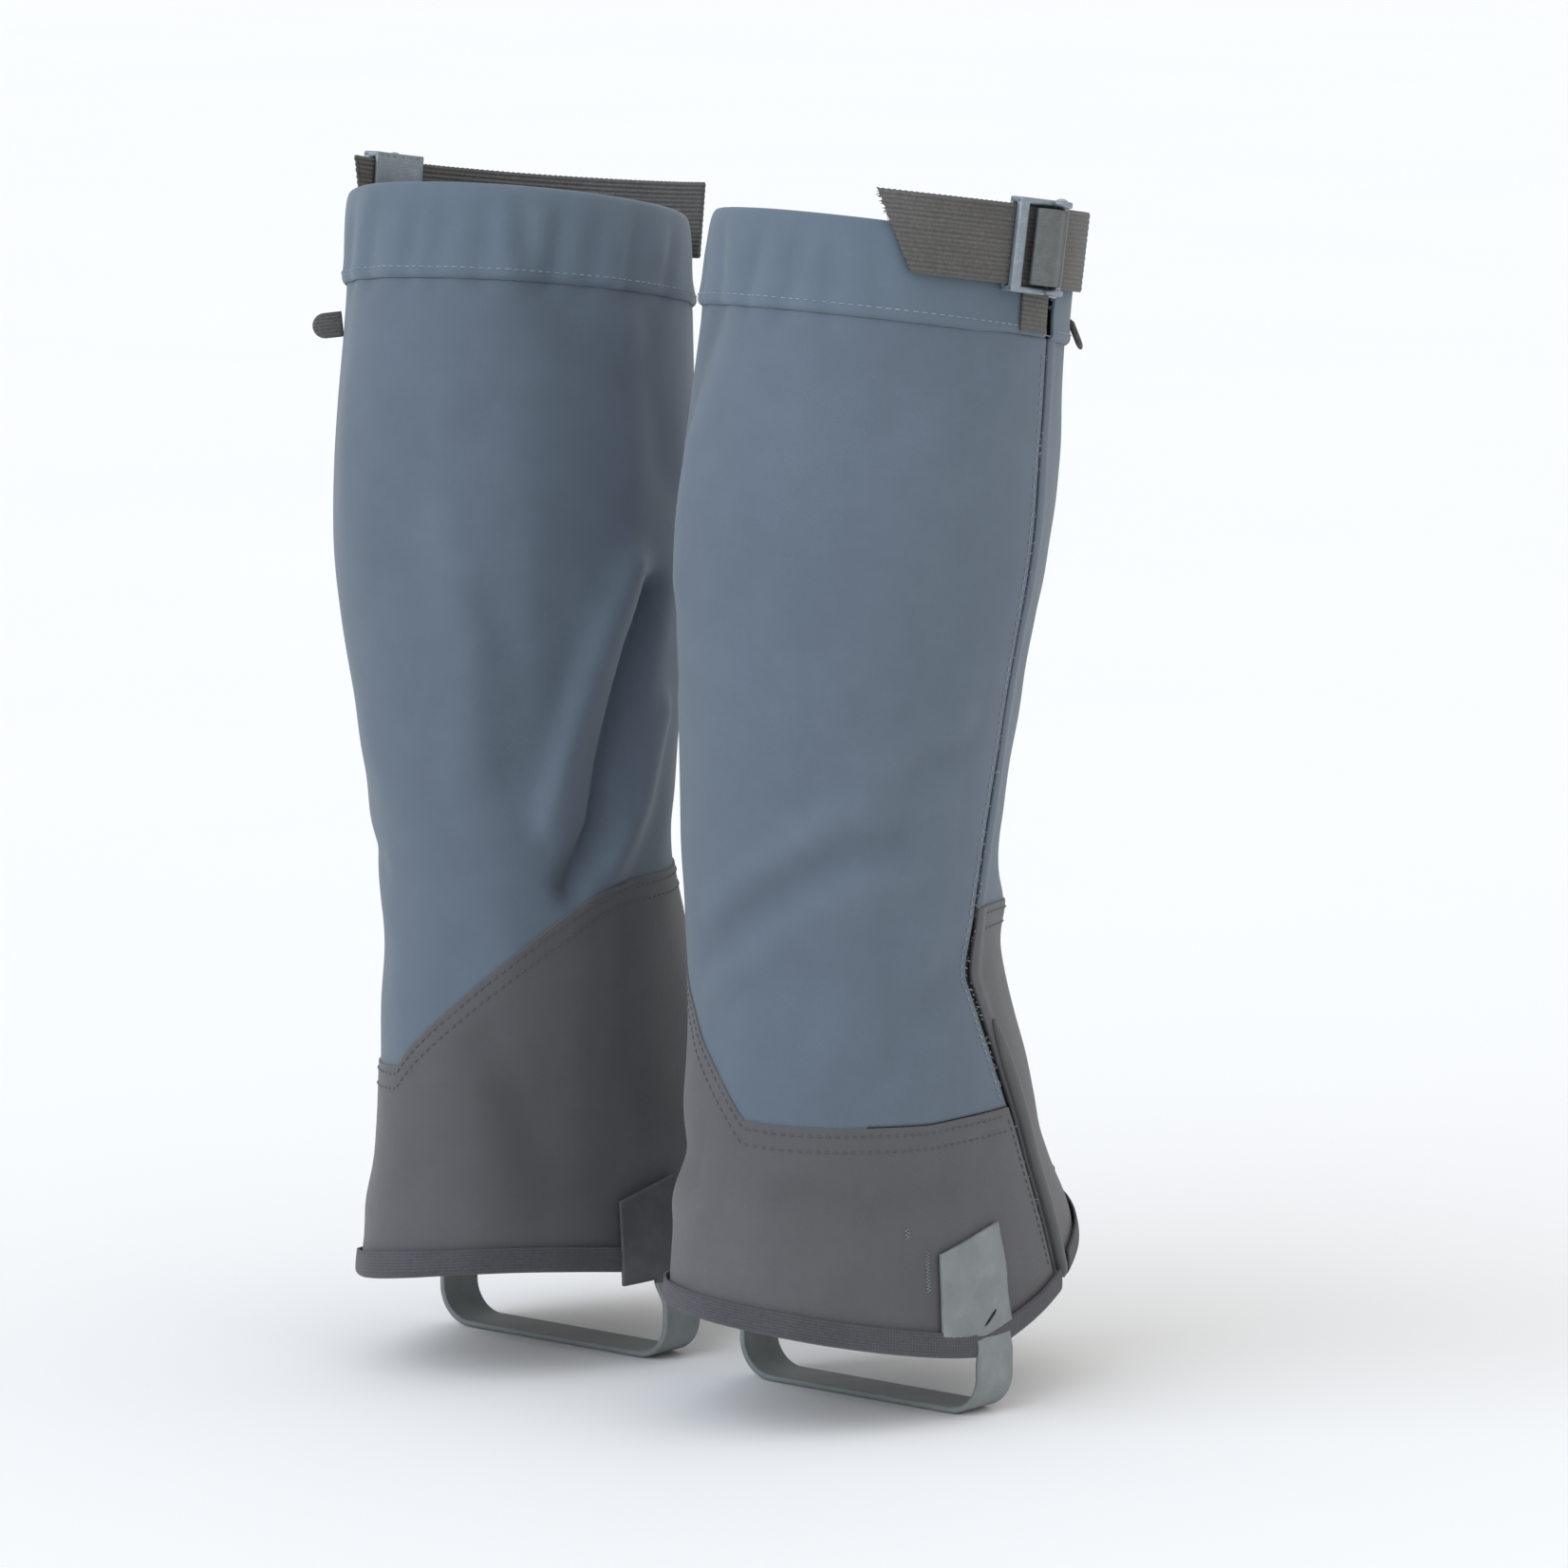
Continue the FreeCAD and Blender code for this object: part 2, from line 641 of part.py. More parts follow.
def make_pull_tab(side, roll):
    """A round-ended tongue of folded webbing that stands out from the leg."""
    angle, height = size(side + "_tab_angle"), size(side + "_tab_height")
    droop = size(side + "_tab_droop")
    root = leg_point(angle, height, 2.0 * size("flap_cloth"))
    outward = leg_point(angle, height, 10.0) - root
    upward = leg_point(angle, height + 5.0, 2.0 * size("flap_cloth")) - root
    stand = FreeCAD.Rotation(outward, V(0, 0, 0), upward, "XZY")
    hang = FreeCAD.Rotation(V(0, 1, 0), droop)
    twist = FreeCAD.Rotation(V(1, 0, 0), roll)
    place = FreeCAD.Placement(root, stand.multiply(hang).multiply(twist))
    half_thick, half_width = 0.5 * size("pull_tab_thick"), 0.5 * size("pull_tab_width")
    tongue = box("TabTongue", "#pull_tab_length - 0.5 * #pull_tab_width", "#pull_tab_thick",
                 "#pull_tab_width", V(0, 0, 0))
    tongue.Placement = place.multiply(FreeCAD.Placement(V(0, -half_thick, -half_width), FreeCAD.Rotation()))
    tip = doc.addObject("Part::Cylinder", "TabTip")
    bind(tip, Radius="0.5 * #pull_tab_width", Height="#pull_tab_thick")
    reach = size("pull_tab_length") - half_width
    lying = FreeCAD.Rotation(V(1, 0, 0), 90.0)
    tip.Placement = place.multiply(FreeCAD.Placement(V(reach, half_thick, 0), lying))
    return fuse("pull_tab", [tongue, tip])


def make_lace_hook():
    """A flat wire hook for the bootlace on a tab at the front of the hem."""
    wire, width = size("hook_wire"), size("hook_width")
    length, mouth = size("hook_length"), size("hook_gap")
    hem = hem_line()(180.0)
    standoff = 2 * sewn + size("lining_cloth")
    front = leg_point(180.0, hem, standoff)
    high = leg_point(180.0, hem + size("hook_lap"), standoff)
    body = doc.addObject("PartDesign::Body", "lace_hook")
    sketch = body.newObject("Sketcher::SketchObject", "HookProfile")
    sketch.AttachmentSupport = [(origin_plane(body, "YZ_Plane"), "")]
    sketch.MapMode = "FlatFace"
    middle = 0.5 * mouth + wire
    inner, outer = wire + mouth, 2 * wire + mouth
    tip = size("hook_tip") - length
    outline = [
        Part.LineSegment(V(0, 0, 0), V(0, -length, 0)),
        Part.Arc(V(0, -length, 0), V(middle, -length - middle, 0), V(outer, -length, 0)),
        Part.LineSegment(V(outer, -length, 0), V(outer, tip, 0)),
        Part.LineSegment(V(outer, tip, 0), V(inner, tip, 0)),
        Part.LineSegment(V(inner, tip, 0), V(inner, -length, 0)),
        Part.Arc(V(inner, -length, 0), V(middle, -length - 0.5 * mouth, 0), V(wire, -length, 0)),
        Part.LineSegment(V(wire, -length, 0), V(wire, 0, 0)),
        Part.LineSegment(V(wire, 0, 0), V(0, 0, 0)),
    ]
    for curve in outline:
        sketch.addGeometry(curve, False)
    pad = body.newObject("PartDesign::Pad", "HookPad")
    pad.Profile = sketch
    pad.Midplane = True
    bind(pad, Length="#hook_width")
    ahead = min(front.y, high.y) - wire
    body.Placement = FreeCAD.Placement(V(0, ahead, front.z + size("hook_lap")), FreeCAD.Rotation())
    keep(body, "lace_hook")
    wide, lap, thick = size("hook_tab_width"), size("hook_lap"), size("flap_cloth")
    tab = box("lace_hook_tab", "#hook_tab_width", "#flap_cloth", "#hook_lap + 3",
              V(-0.5 * wide, ahead - sewn - thick, front.z + 1.0))
    keep(tab, "lace_hook_tab")


make_shells()
make_cuff()
make_closure()
make_patches()
make_instep_strap()
make_cuff_strap()
make_buckle()
make_buckle_loop()
make_lace_hook()
doc.recompute()

# ------------------------------------------------------------ the left gaiter

def mirrored(source, placement):
    """The left-hand twin of a right-hand piece."""
    mirror = doc.addObject("Part::Mirroring", source.Name + "_left")
    mirror.Source = source
    mirror.Normal = V(1, 0, 0)
    mirror.Base = V(0, 0, 0)
    mirror.Placement = placement
    return mirror


def left_webbing_placement(shift):
    """The left webbing is slid forward by its slack, round the mirrored axis."""
    frame = cuff_frame()
    axis = frame.Rotation.multVec(V(0, 0, 1))
    turn = FreeCAD.Rotation(V(-axis.x, axis.y, axis.z), -size("left_webbing_slack"))
    centre = V(-frame.Base.x, frame.Base.y, frame.Base.z)
    return FreeCAD.Placement(shift, FreeCAD.Rotation()).multiply(FreeCAD.Placement(V(), turn, centre))


left_shift = V(size("foot_spacing"), -size("left_foot_lead"), 0)
for source in list(nodes):
    placement = FreeCAD.Placement(left_shift, FreeCAD.Rotation())
    if source.Label == "right_cuff_strap":
        placement = left_webbing_placement(left_shift)
    twin = mirrored(source, placement)
    twin.Label = source.Label.replace("right_", "left_", 1)
    nodes.append(twin)

# The two pull tabs hang at different places, so they aren't mirrored twins.
keep(make_pull_tab("right", 90.0), "pull_tab")
left_tab = mirrored(make_pull_tab("left", 0.0), FreeCAD.Placement(left_shift, FreeCAD.Rotation()))
left_tab.Label = "left_pull_tab"
nodes.append(left_tab)
doc.recompute()

# ------------------------------------------------------------------ write out

for item in doc.Objects:
    if "Invalid" in item.State or "Error" in item.State:
        raise RuntimeError("failed: %s %s" % (item.Label, item.State))
os.makedirs("parts", exist_ok=True)
for node in nodes:
    shape = node.Shape
    if shape.isNull() or not shape.isValid():
        raise RuntimeError("bad shape: %s" % node.Label)
    print("%-26s solids %d volume %9.1f" % (node.Label, len(shape.Solids), shape.Volume))
    shape.exportStep("parts/%s.step" % node.Label)
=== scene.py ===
# Looks for the pair of knee-high gaiters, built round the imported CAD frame.
#
# Sizes are millimetres until a mesh is made, and metres after that, in the
# CAD frame: +Z up, the wearer faces -Y, the wearer's right is -X. The cloth
# pieces follow the same leg surface as the CAD solids. A point of it has an
# angle (0 rear, 90 outer side, 180 front, -90 inner side) and a height.

import math
import random

import bpy
import numpy as np
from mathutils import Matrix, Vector, noise


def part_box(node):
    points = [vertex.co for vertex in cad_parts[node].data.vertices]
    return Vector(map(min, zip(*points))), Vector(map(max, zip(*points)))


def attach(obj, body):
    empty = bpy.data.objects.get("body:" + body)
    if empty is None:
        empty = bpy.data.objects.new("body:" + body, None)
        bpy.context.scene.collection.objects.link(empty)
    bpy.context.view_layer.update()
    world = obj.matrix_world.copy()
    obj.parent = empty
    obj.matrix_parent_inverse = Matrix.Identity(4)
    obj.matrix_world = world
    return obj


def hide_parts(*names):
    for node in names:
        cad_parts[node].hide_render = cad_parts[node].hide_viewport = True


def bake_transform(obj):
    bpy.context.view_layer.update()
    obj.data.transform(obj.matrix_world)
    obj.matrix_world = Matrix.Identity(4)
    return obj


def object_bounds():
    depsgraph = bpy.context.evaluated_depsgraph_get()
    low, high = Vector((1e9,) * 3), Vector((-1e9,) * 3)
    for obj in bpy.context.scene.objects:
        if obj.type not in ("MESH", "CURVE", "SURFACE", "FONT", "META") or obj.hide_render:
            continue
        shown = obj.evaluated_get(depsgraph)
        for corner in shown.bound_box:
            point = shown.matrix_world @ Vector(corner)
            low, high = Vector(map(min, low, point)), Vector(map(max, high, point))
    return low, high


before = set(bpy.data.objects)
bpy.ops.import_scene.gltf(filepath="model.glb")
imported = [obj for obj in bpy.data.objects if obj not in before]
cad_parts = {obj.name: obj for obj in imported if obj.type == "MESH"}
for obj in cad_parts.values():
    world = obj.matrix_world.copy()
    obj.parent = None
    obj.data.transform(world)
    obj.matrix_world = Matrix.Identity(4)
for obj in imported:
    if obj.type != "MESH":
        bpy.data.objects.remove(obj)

CAD_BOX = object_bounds()
MM = 0.001
SIDES = ("right", "left")
TAU = 2.0 * math.pi

# ------------------------------------------------------------ main dimensions

SPACING = 158.0
CUFF_TOP, CUFF_SEAM = 450.0, 415.5
CUFF_LEAN, CUFF_TILT, LEAN_START = 14.5, 11.0, 175.0
GUARD_SIDE, GUARD_HEEL_CLIMB, GUARD_FRONT = 115.0, 8.0, 195.0
HEM_SIDE, HEM_HEEL_RISE, HEM_INSTEP_RISE, HEM_OUTER_DROP = 29.0, 17.0, 32.0, 6.0
CLOSURE = ((45.0, 46.0), (168.0, -13.0), (430.0, 8.0))      # height, forward
CLOSURE_GAP = 5.0
UPPER_FLAP_WIDTH, UPPER_FOLD_RUN, LOWER_FLAP_WIDTH = 36.0, 19.0, 28.0
FOLD_REACH = 11.0             # cloth behind a fold that still bends with it
CLOTH = 1.3
FLAP_LIFT, GUARD_LIFT = 1.7, 0.75     # over the tapes; over the upper cloth
# simulated tube: degrees and height between points, lowest height, room round the leg
SIM_TURN, SIM_RISE, SIM_LOW, SIM_ROOM = 4.0, 5.0, 32.0, 3.0
# its bending stiffness, slack share, frames, largest move and smoothing passes
SIM_BEND, SIM_SLACK, SIM_FRAMES, SIM_LIMIT, SIM_SOFTEN = 2.0, 0.024, 28, 6.0, 3
SIM_GAP = 0.001
STRAP_NECK, NECK_TOP, NECK_SWELL, NECK_RUN = 0.13, 29.0, 0.8, 84.0
PATCH_LOW, PATCH_TOP, PATCH_DROP = 30.3, 72.3, 8.0
PATCH_REAR, PATCH_FRONT, PATCH_FLARE = -28.0, 3.0, 9.0
PATCH_OUTSETS = ((3.1, 1.5), (4.3, 2.7))      # outer patch; inner patch
SHADED_PATCH_FROM, SHADED_PATCH_ABOVE = 0.02, 0.0285          # inner patch faces that take the darker rubber as painted shade, in metres
STRAP_HALF, STRAP_THICK, STRAP_WIDTH, STRAP_CORNER = 60.2, 2.2, 20.0, 13.0
WEB_RADIUS, WEB_THICK, WEB_HEIGHT = 74.8, 1.6, 30.0
WEB_INSET, WEB_RISE = 5.0, 18.0
WEB_TAIL, WEB_FRONT, WEB_CUT = 35.5, 168.0, 16.0
LEFT_WEB_SLACK = 30.0
BUCKLE_ANGLE, BUCKLE_SWEEP = 88.5, 22.0
PIN_LEAD, PIN_RADIUS, PIN_OUT = 4.2, 1.5, 5.7
PAIR_TABS = {"right": (133.0, 424.0, 62.0), "left": (52.0, 400.0, 12.0)}

# height, forward centre, rear reach, front reach, half width
STATIONS = (
    (25.0, -5.5, 98.0, 108.0, 56.0),
    (60.0, -5.5, 95.0, 106.0, 55.0),
    (95.0, -8.0, 86.0, 88.0, 54.0),
    (130.0, -12.0, 78.0, 78.0, 54.5),
    (175.0, -20.0, 64.0, 65.0, 55.5),
    (225.0, -23.5, 66.0, 66.0, 58.0),
    (300.0, -21.5, 76.0, 75.0, 64.5),
    (350.0, -17.0, 79.0, 77.0, 67.0),
    (412.0, -11.0, 74.0, 73.0, 65.5),
    (470.0, -5.5, 72.0, 71.0, 63.5),
)


def station_curve(column):
    """One station size at every whole millimetre of height."""
    knots = [(s[0], s[column]) for s in STATIONS]
    last = len(knots) - 1
    values = []
    for height in range(500):
        h = min(max(float(height), knots[0][0]), knots[last][0])
        k = 0
        while k < last - 1 and knots[k + 1][0] < h:
            k += 1
        (h0, v0), (h1, v1) = knots[k], knots[k + 1]
        before, after = knots[max(k - 1, 0)], knots[min(k + 2, last)]
        slope0 = (v1 - before[1]) / (h1 - before[0])
        slope1 = (after[1] - v0) / (after[0] - h0)
        t, span = (h - h0) / (h1 - h0), h1 - h0
        values.append((2 * t**3 - 3 * t**2 + 1) * v0 + (t**3 - 2 * t**2 + t) * span * slope0
                      + (3 * t**2 - 2 * t**3) * v1 + (t**3 - t**2) * span * slope1)
    return np.array(values)


WHOLE_MM = np.arange(500.0)
LEG = {name: station_curve(i + 1) for i, name in enumerate(("centre", "rear", "front", "half"))}


def leg(name, height):
    return np.interp(height, WHOLE_MM, LEG[name])


def lean_share(height):
    return np.maximum(0.0, (height - LEAN_START) / (CUFF_TOP - LEAN_START))


def leg_point(angle, height, outset=0.0):
    """Right-hand surface points, in millimetres."""
    turn = np.radians(angle)
    back = np.cos(turn)
    reach = np.where(back > 0, leg("rear", height), leg("front", height))
    ahead = -back * (reach + outset)
    side = np.sin(turn) * (leg("half", height) + outset)
    share = lean_share(height)
    tilt = math.radians(CUFF_TILT) * share
    x = -(CUFF_LEAN * share + side)
    y = -(leg("centre", height) + ahead * np.cos(tilt))
    return np.stack([x, y, height - ahead * np.sin(tilt)], -1)


def angle_at(forward, height):
    """Outer-side angle of the point that stands this far forward."""
    ahead = forward - leg("centre", height)
    reach = np.where(ahead > 0, leg("front", height), leg("rear", height))
    return 90.0 + np.degrees(np.arcsin(np.clip(ahead / reach, -1.0, 1.0)))


def closure_forward(height):
    (h0, f0), (h1, f1), (h2, f2) = CLOSURE
    low = f1 + (f0 - f1) * (height - h1) / (h0 - h1)
    high = f1 + (f2 - f1) * (height - h1) / (h2 - h1)
    return np.where(height > h1, high, low)


def closure_line(shift, turns=0):
    return lambda h: angle_at(closure_forward(h) + shift, h) - 360.0 * turns


def upper_fold_line(shift):
    """The straight line that the upper flap folds on."""
    def line(h):
        share = (CUFF_SEAM - h) / (CUFF_SEAM - GUARD_SIDE)
        return angle_at(CLOSURE[2][1] - UPPER_FLAP_WIDTH - UPPER_FOLD_RUN * share + shift, h)
    return line


def level(height):
    return lambda a: np.zeros_like(np.asarray(a, float)) + height


def fixed(angle):
    return lambda h: np.zeros_like(np.asarray(h, float)) + angle


def wrap(angle):
    """The same direction, from -180 to 180 degrees."""
    return (np.asarray(angle, float) + 180.0) % 360.0 - 180.0


def hem_line(raise_by=0.0):
    def line(a):
        back = np.cos(np.radians(a))
        rise = np.where(back > 0, HEM_HEEL_RISE, HEM_INSTEP_RISE)
        drop = HEM_OUTER_DROP * np.sin(np.radians(a))
        return HEM_SIDE + raise_by + rise * np.abs(back) ** 1.2 - drop
    return line


def guard_line(raise_by=0.0):
    """The seam above the guard: low outside, climbing round the inner side."""
    def line(a):
        over_heel = np.clip((75.0 - a) / 75.0, 0.0, 1.0)
        inside = np.clip((10.0 - a) / 110.0, 0.0, 1.0)
        climb = GUARD_FRONT - GUARD_SIDE - GUARD_HEEL_CLIMB
        return (GUARD_SIDE + raise_by + GUARD_HEEL_CLIMB * over_heel
                + climb * np.sin(np.radians(90.0 * inside)))
    return line


# ---------------------------------------------- how the cloth falls and folds

# Each crease: depth in mm (below 0 is a groove), half width in mm, and the
# points it runs through as (angle, height).
CREASES = {
    "right": [
        (-2.6, 9, ((-14, 186), (15, 207), (32, 217), (47, 224), (60, 227))),
        (1.8, 8, ((-10, 200), (18, 221), (40, 236), (58, 241))),
        (1.6, 9, ((-8, 172), (20, 193), (45, 208), (66, 212))),
        (-1.8, 7, ((60, 243), (71, 256), (85, 259))),
        (1.2, 7, ((56, 254), (70, 268), (84, 272))),
        (-2.8, 8, ((-27, 408), (-42, 374), (-48, 318), (-46, 286))),
        (1.5, 8, ((-12, 404), (-28, 366), (-34, 318))),
        (-1.6, 10, ((66, 150), (78, 166), (92, 176))),
        (1.2, 10, ((40, 160), (58, 152), (74, 146))),
        (-2.2, 10, ((-120, 214), (-90, 226), (-66, 246))),
        (1.8, 10, ((-126, 236), (-96, 250), (-70, 270))),
        (-2.6, 9, ((-170, 206), (-196, 220), (-222, 214))),
        (2.0, 9, ((-166, 190), (-194, 200), (-222, 194))),
        (-1.6, 9, ((-160, 260), (-190, 276), (-216, 284))),
        (-2.2, 9, ((-64, 92), (-40, 104), (-14, 100))),
        (1.5, 9, ((-60, 76), (-36, 86), (-8, 84))),
        (-1.4, 9, ((30, 92), (56, 84), (78, 88))),
    ],
    "left": [
        (-9.5, 7, ((-104, 306), (-96, 286), (-86, 250), (-77, 216), (-62, 194))),
        (4.4, 8, ((-90, 316), (-78, 286), (-66, 250), (-56, 220))),
        (3.6, 8, ((-112, 258), (-100, 226), (-84, 202))),
        (-2.4, 10, ((-54, 414), (-66, 392), (-84, 384))),
        (-2.0, 9, ((-98, 420), (-96, 390), (-104, 356), (-122, 330))),
        (-2.0, 10, ((-36, 300), (-46, 270), (-40, 236))),
        (1.4, 10, ((-22, 330), (-30, 286), (-22, 240))),
        (-2.2, 10, ((-86, 172), (-80, 130), (-88, 92))),
        (1.6, 10, ((-68, 160), (-62, 120), (-66, 84))),
        (-2.2, 10, ((-30, 132), (-44, 100), (-52, 66))),
        (-2.6, 9, ((-170, 206), (-196, 220), (-222, 214))),
        (2.0, 9, ((-166, 190), (-194, 200), (-222, 194))),
        (-1.6, 8, ((30, 198), (52, 206), (76, 214))),
    ],
}

# Short puckers that the cuff's elastic draws: (angle, depth in mm).
PUCKERS = {
    "right": ((-62, 1.6), (-40, 1.5), (-22, 1.2), (-7, 1.5), (9, 1.4), (24, 0.9), (40, 0.8), (-88, 1.4),
              (-114, 1.2), (-140, 1.3), (-166, 1.0)),
    "left": ((-4, 1.5), (-14, 1.2), (-30, 0.9), (-47, 1.9), (-54, 1.7), (-68, 1.0), (-84, 1.6),
             (-104, 1.2), (14, 1.2), (30, 1.0), (-130, 1.2), (-158, 1.1)),
}

GRID_ANGLES = np.arange(0.0, 361.0, 2.0)
GRID_HEIGHTS = np.arange(14.0, 462.0, 2.0)
GIRTH_PER_DEGREE = 1.12        # millimetres of cloth per degree, on average


def to_line(angle, height, points):
    """Distance from surface points to a line of (angle, height) points."""
    best = np.full(np.shape(angle), 1e9)
    for (a0, h0), (a1, h1) in zip(points, points[1:]):
        du = wrap(angle - a0) * GIRTH_PER_DEGREE
        dv = height - h0
        eu, ev = (a1 - a0) * GIRTH_PER_DEGREE, h1 - h0
        t = np.clip((du * eu + dv * ev) / (eu * eu + ev * ev), 0.0, 1.0)
        best = np.minimum(best, np.hypot(du - t * eu, dv - t * ev))
    return best


def crease_field(side, angle, height):
    """Outward move of the cloth, in mm: folds, puckers and slack."""
    out = np.zeros(np.shape(angle))
    for depth, width, points in CREASES[side]:
        out += depth * np.exp(-(to_line(angle, height, points) / width) ** 2)
    cuff = np.clip((height - CUFF_SEAM + 8.0) / 8.0, 0.0, 1.0)
    cuff = cuff * np.clip((CUFF_TOP - height) / 16.0, 0.0, 1.0)
    for at, depth in PUCKERS[side]:
        lean = 0.12 * (height - CUFF_SEAM) * (1 if at % 2 else -1)
        near = np.exp(-(wrap(angle - at - lean) / 3.4) ** 2)
        beside = np.exp(-(wrap(angle - at - lean - 7.0) / 4.2) ** 2)
        out += cuff * depth * (0.55 * beside - near)
    return out


def slack_noise(side, angle, height):
    """Gentle unevenness, in mm, the same all round the seamless tube."""
    seed = 3.7 if side == "right" else 19.3
    out = np.zeros(np.shape(angle))
    flat_a, flat_h, flat_o = angle.ravel(), height.ravel(), out.ravel()
    for i in range(flat_a.size):
        turn = math.radians(flat_a[i])
        x, y, z = 65.0 * math.cos(turn), 65.0 * math.sin(turn), flat_h[i]
        wide = noise.noise(Vector((x / 46.0 + seed, y / 46.0, z / 80.0)))
        fine = noise.noise(Vector((x / 17.0, y / 17.0 + seed, z / 30.0)))
        flat_o[i] = 1.5 * wide + 0.45 * fine
    return out


def shape_field(side, angle, height):
    """Outward move and rise, in mm, that fit one leg's own outline."""
    out, rise = np.zeros(np.shape(angle)), np.zeros(np.shape(angle))
    a = wrap(angle)
    strapped = np.exp(-(wrap(angle - 195.0) / 42.0) ** 2)
    if side == "right":
        strapped = np.maximum(strapped, 0.85 * np.exp(-(wrap(angle - 22.0) / 26.0) ** 2))
    out -= 2.2 * strapped * np.clip((height - CUFF_SEAM) / 14.0, 0.0, 1.0)
    if side == "left":
        inner_rear = np.exp(-((a + 78.0) / 52.0) ** 2)
        out -= inner_rear * (5.5 + 2.5 * np.exp(-((height - 250.0) / 80.0) ** 2))
        rear = np.exp(-((a - 5.0) / 45.0) ** 2)
        rise -= 6.0 * rear * np.clip((90.0 - height) / 50.0, 0.0, 1.0)
        share = np.clip((height - 330.0) / 85.0, 0.0, 1.0)
        rise += -5.0 * np.sin(np.radians(a)) * share
    return out, rise


def drape_grid(side):
    """Cloth moves on a regular (height, angle) grid, as vectors in mm."""
    a, h = np.meshgrid(GRID_ANGLES, GRID_HEIGHTS)
    normal = leg_point(a, h, 1.0) - leg_point(a, h, 0.0)
    normal /= np.linalg.norm(normal, axis=-1, keepdims=True)
    shape_out, rise = shape_field(side, a, h)
    out = crease_field(side, a, h) + slack_noise(side, a, h) + shape_out
    move = normal * out[..., None]
    move[..., 2] += rise
    return move


# Fold tone for the cloth colour: ridges lighter as wear, grooves darker as painted shade.
FOLD_WEAR_SHADE = {}
for side in SIDES:
    folds = crease_field(side, *np.meshgrid(GRID_ANGLES, GRID_HEIGHTS))
    FOLD_WEAR_SHADE[side] = np.clip(folds / 3.0, -1.0, 1.0)


def from_grid(table, angle, height):
    """Bilinear look-up in a (height, angle) table."""
    u = (np.asarray(angle, float) % 360.0) / 2.0
    v = np.clip((np.asarray(height, float) - GRID_HEIGHTS[0]) / 2.0, 0.0, len(GRID_HEIGHTS) - 1.001)
    i, j = u.astype(int), v.astype(int)
    i = np.minimum(i, len(GRID_ANGLES) - 2)
    fu, fv = u - i, v - j
    if table.ndim == 3:
        fu, fv = fu[..., None], fv[..., None]
    return (table[j, i] * (1 - fu) * (1 - fv) + table[j, i + 1] * fu * (1 - fv)
            + table[j + 1, i] * (1 - fu) * fv + table[j + 1, i + 1] * fu * fv)


def sim_pins(angle, height):
    """How firmly each point is held: cuff, hem, closure and stiff guard."""
    top = np.clip((height - CUFF_SEAM + 12.0) / 8.0, 0.0, 1.0)
    hem = np.clip((54.0 - height) / 12.0, 0.0, 1.0)
    closure = np.clip((17.0 - np.abs(wrap(angle - closure_line(0.0)(height)))) / 7.0, 0.0, 1.0)
    guard = 0.12 * np.clip((guard_line(0.0)(angle) - height) / 14.0, 0.0, 1.0)
    return np.maximum.reduce([top, hem, closure, guard])


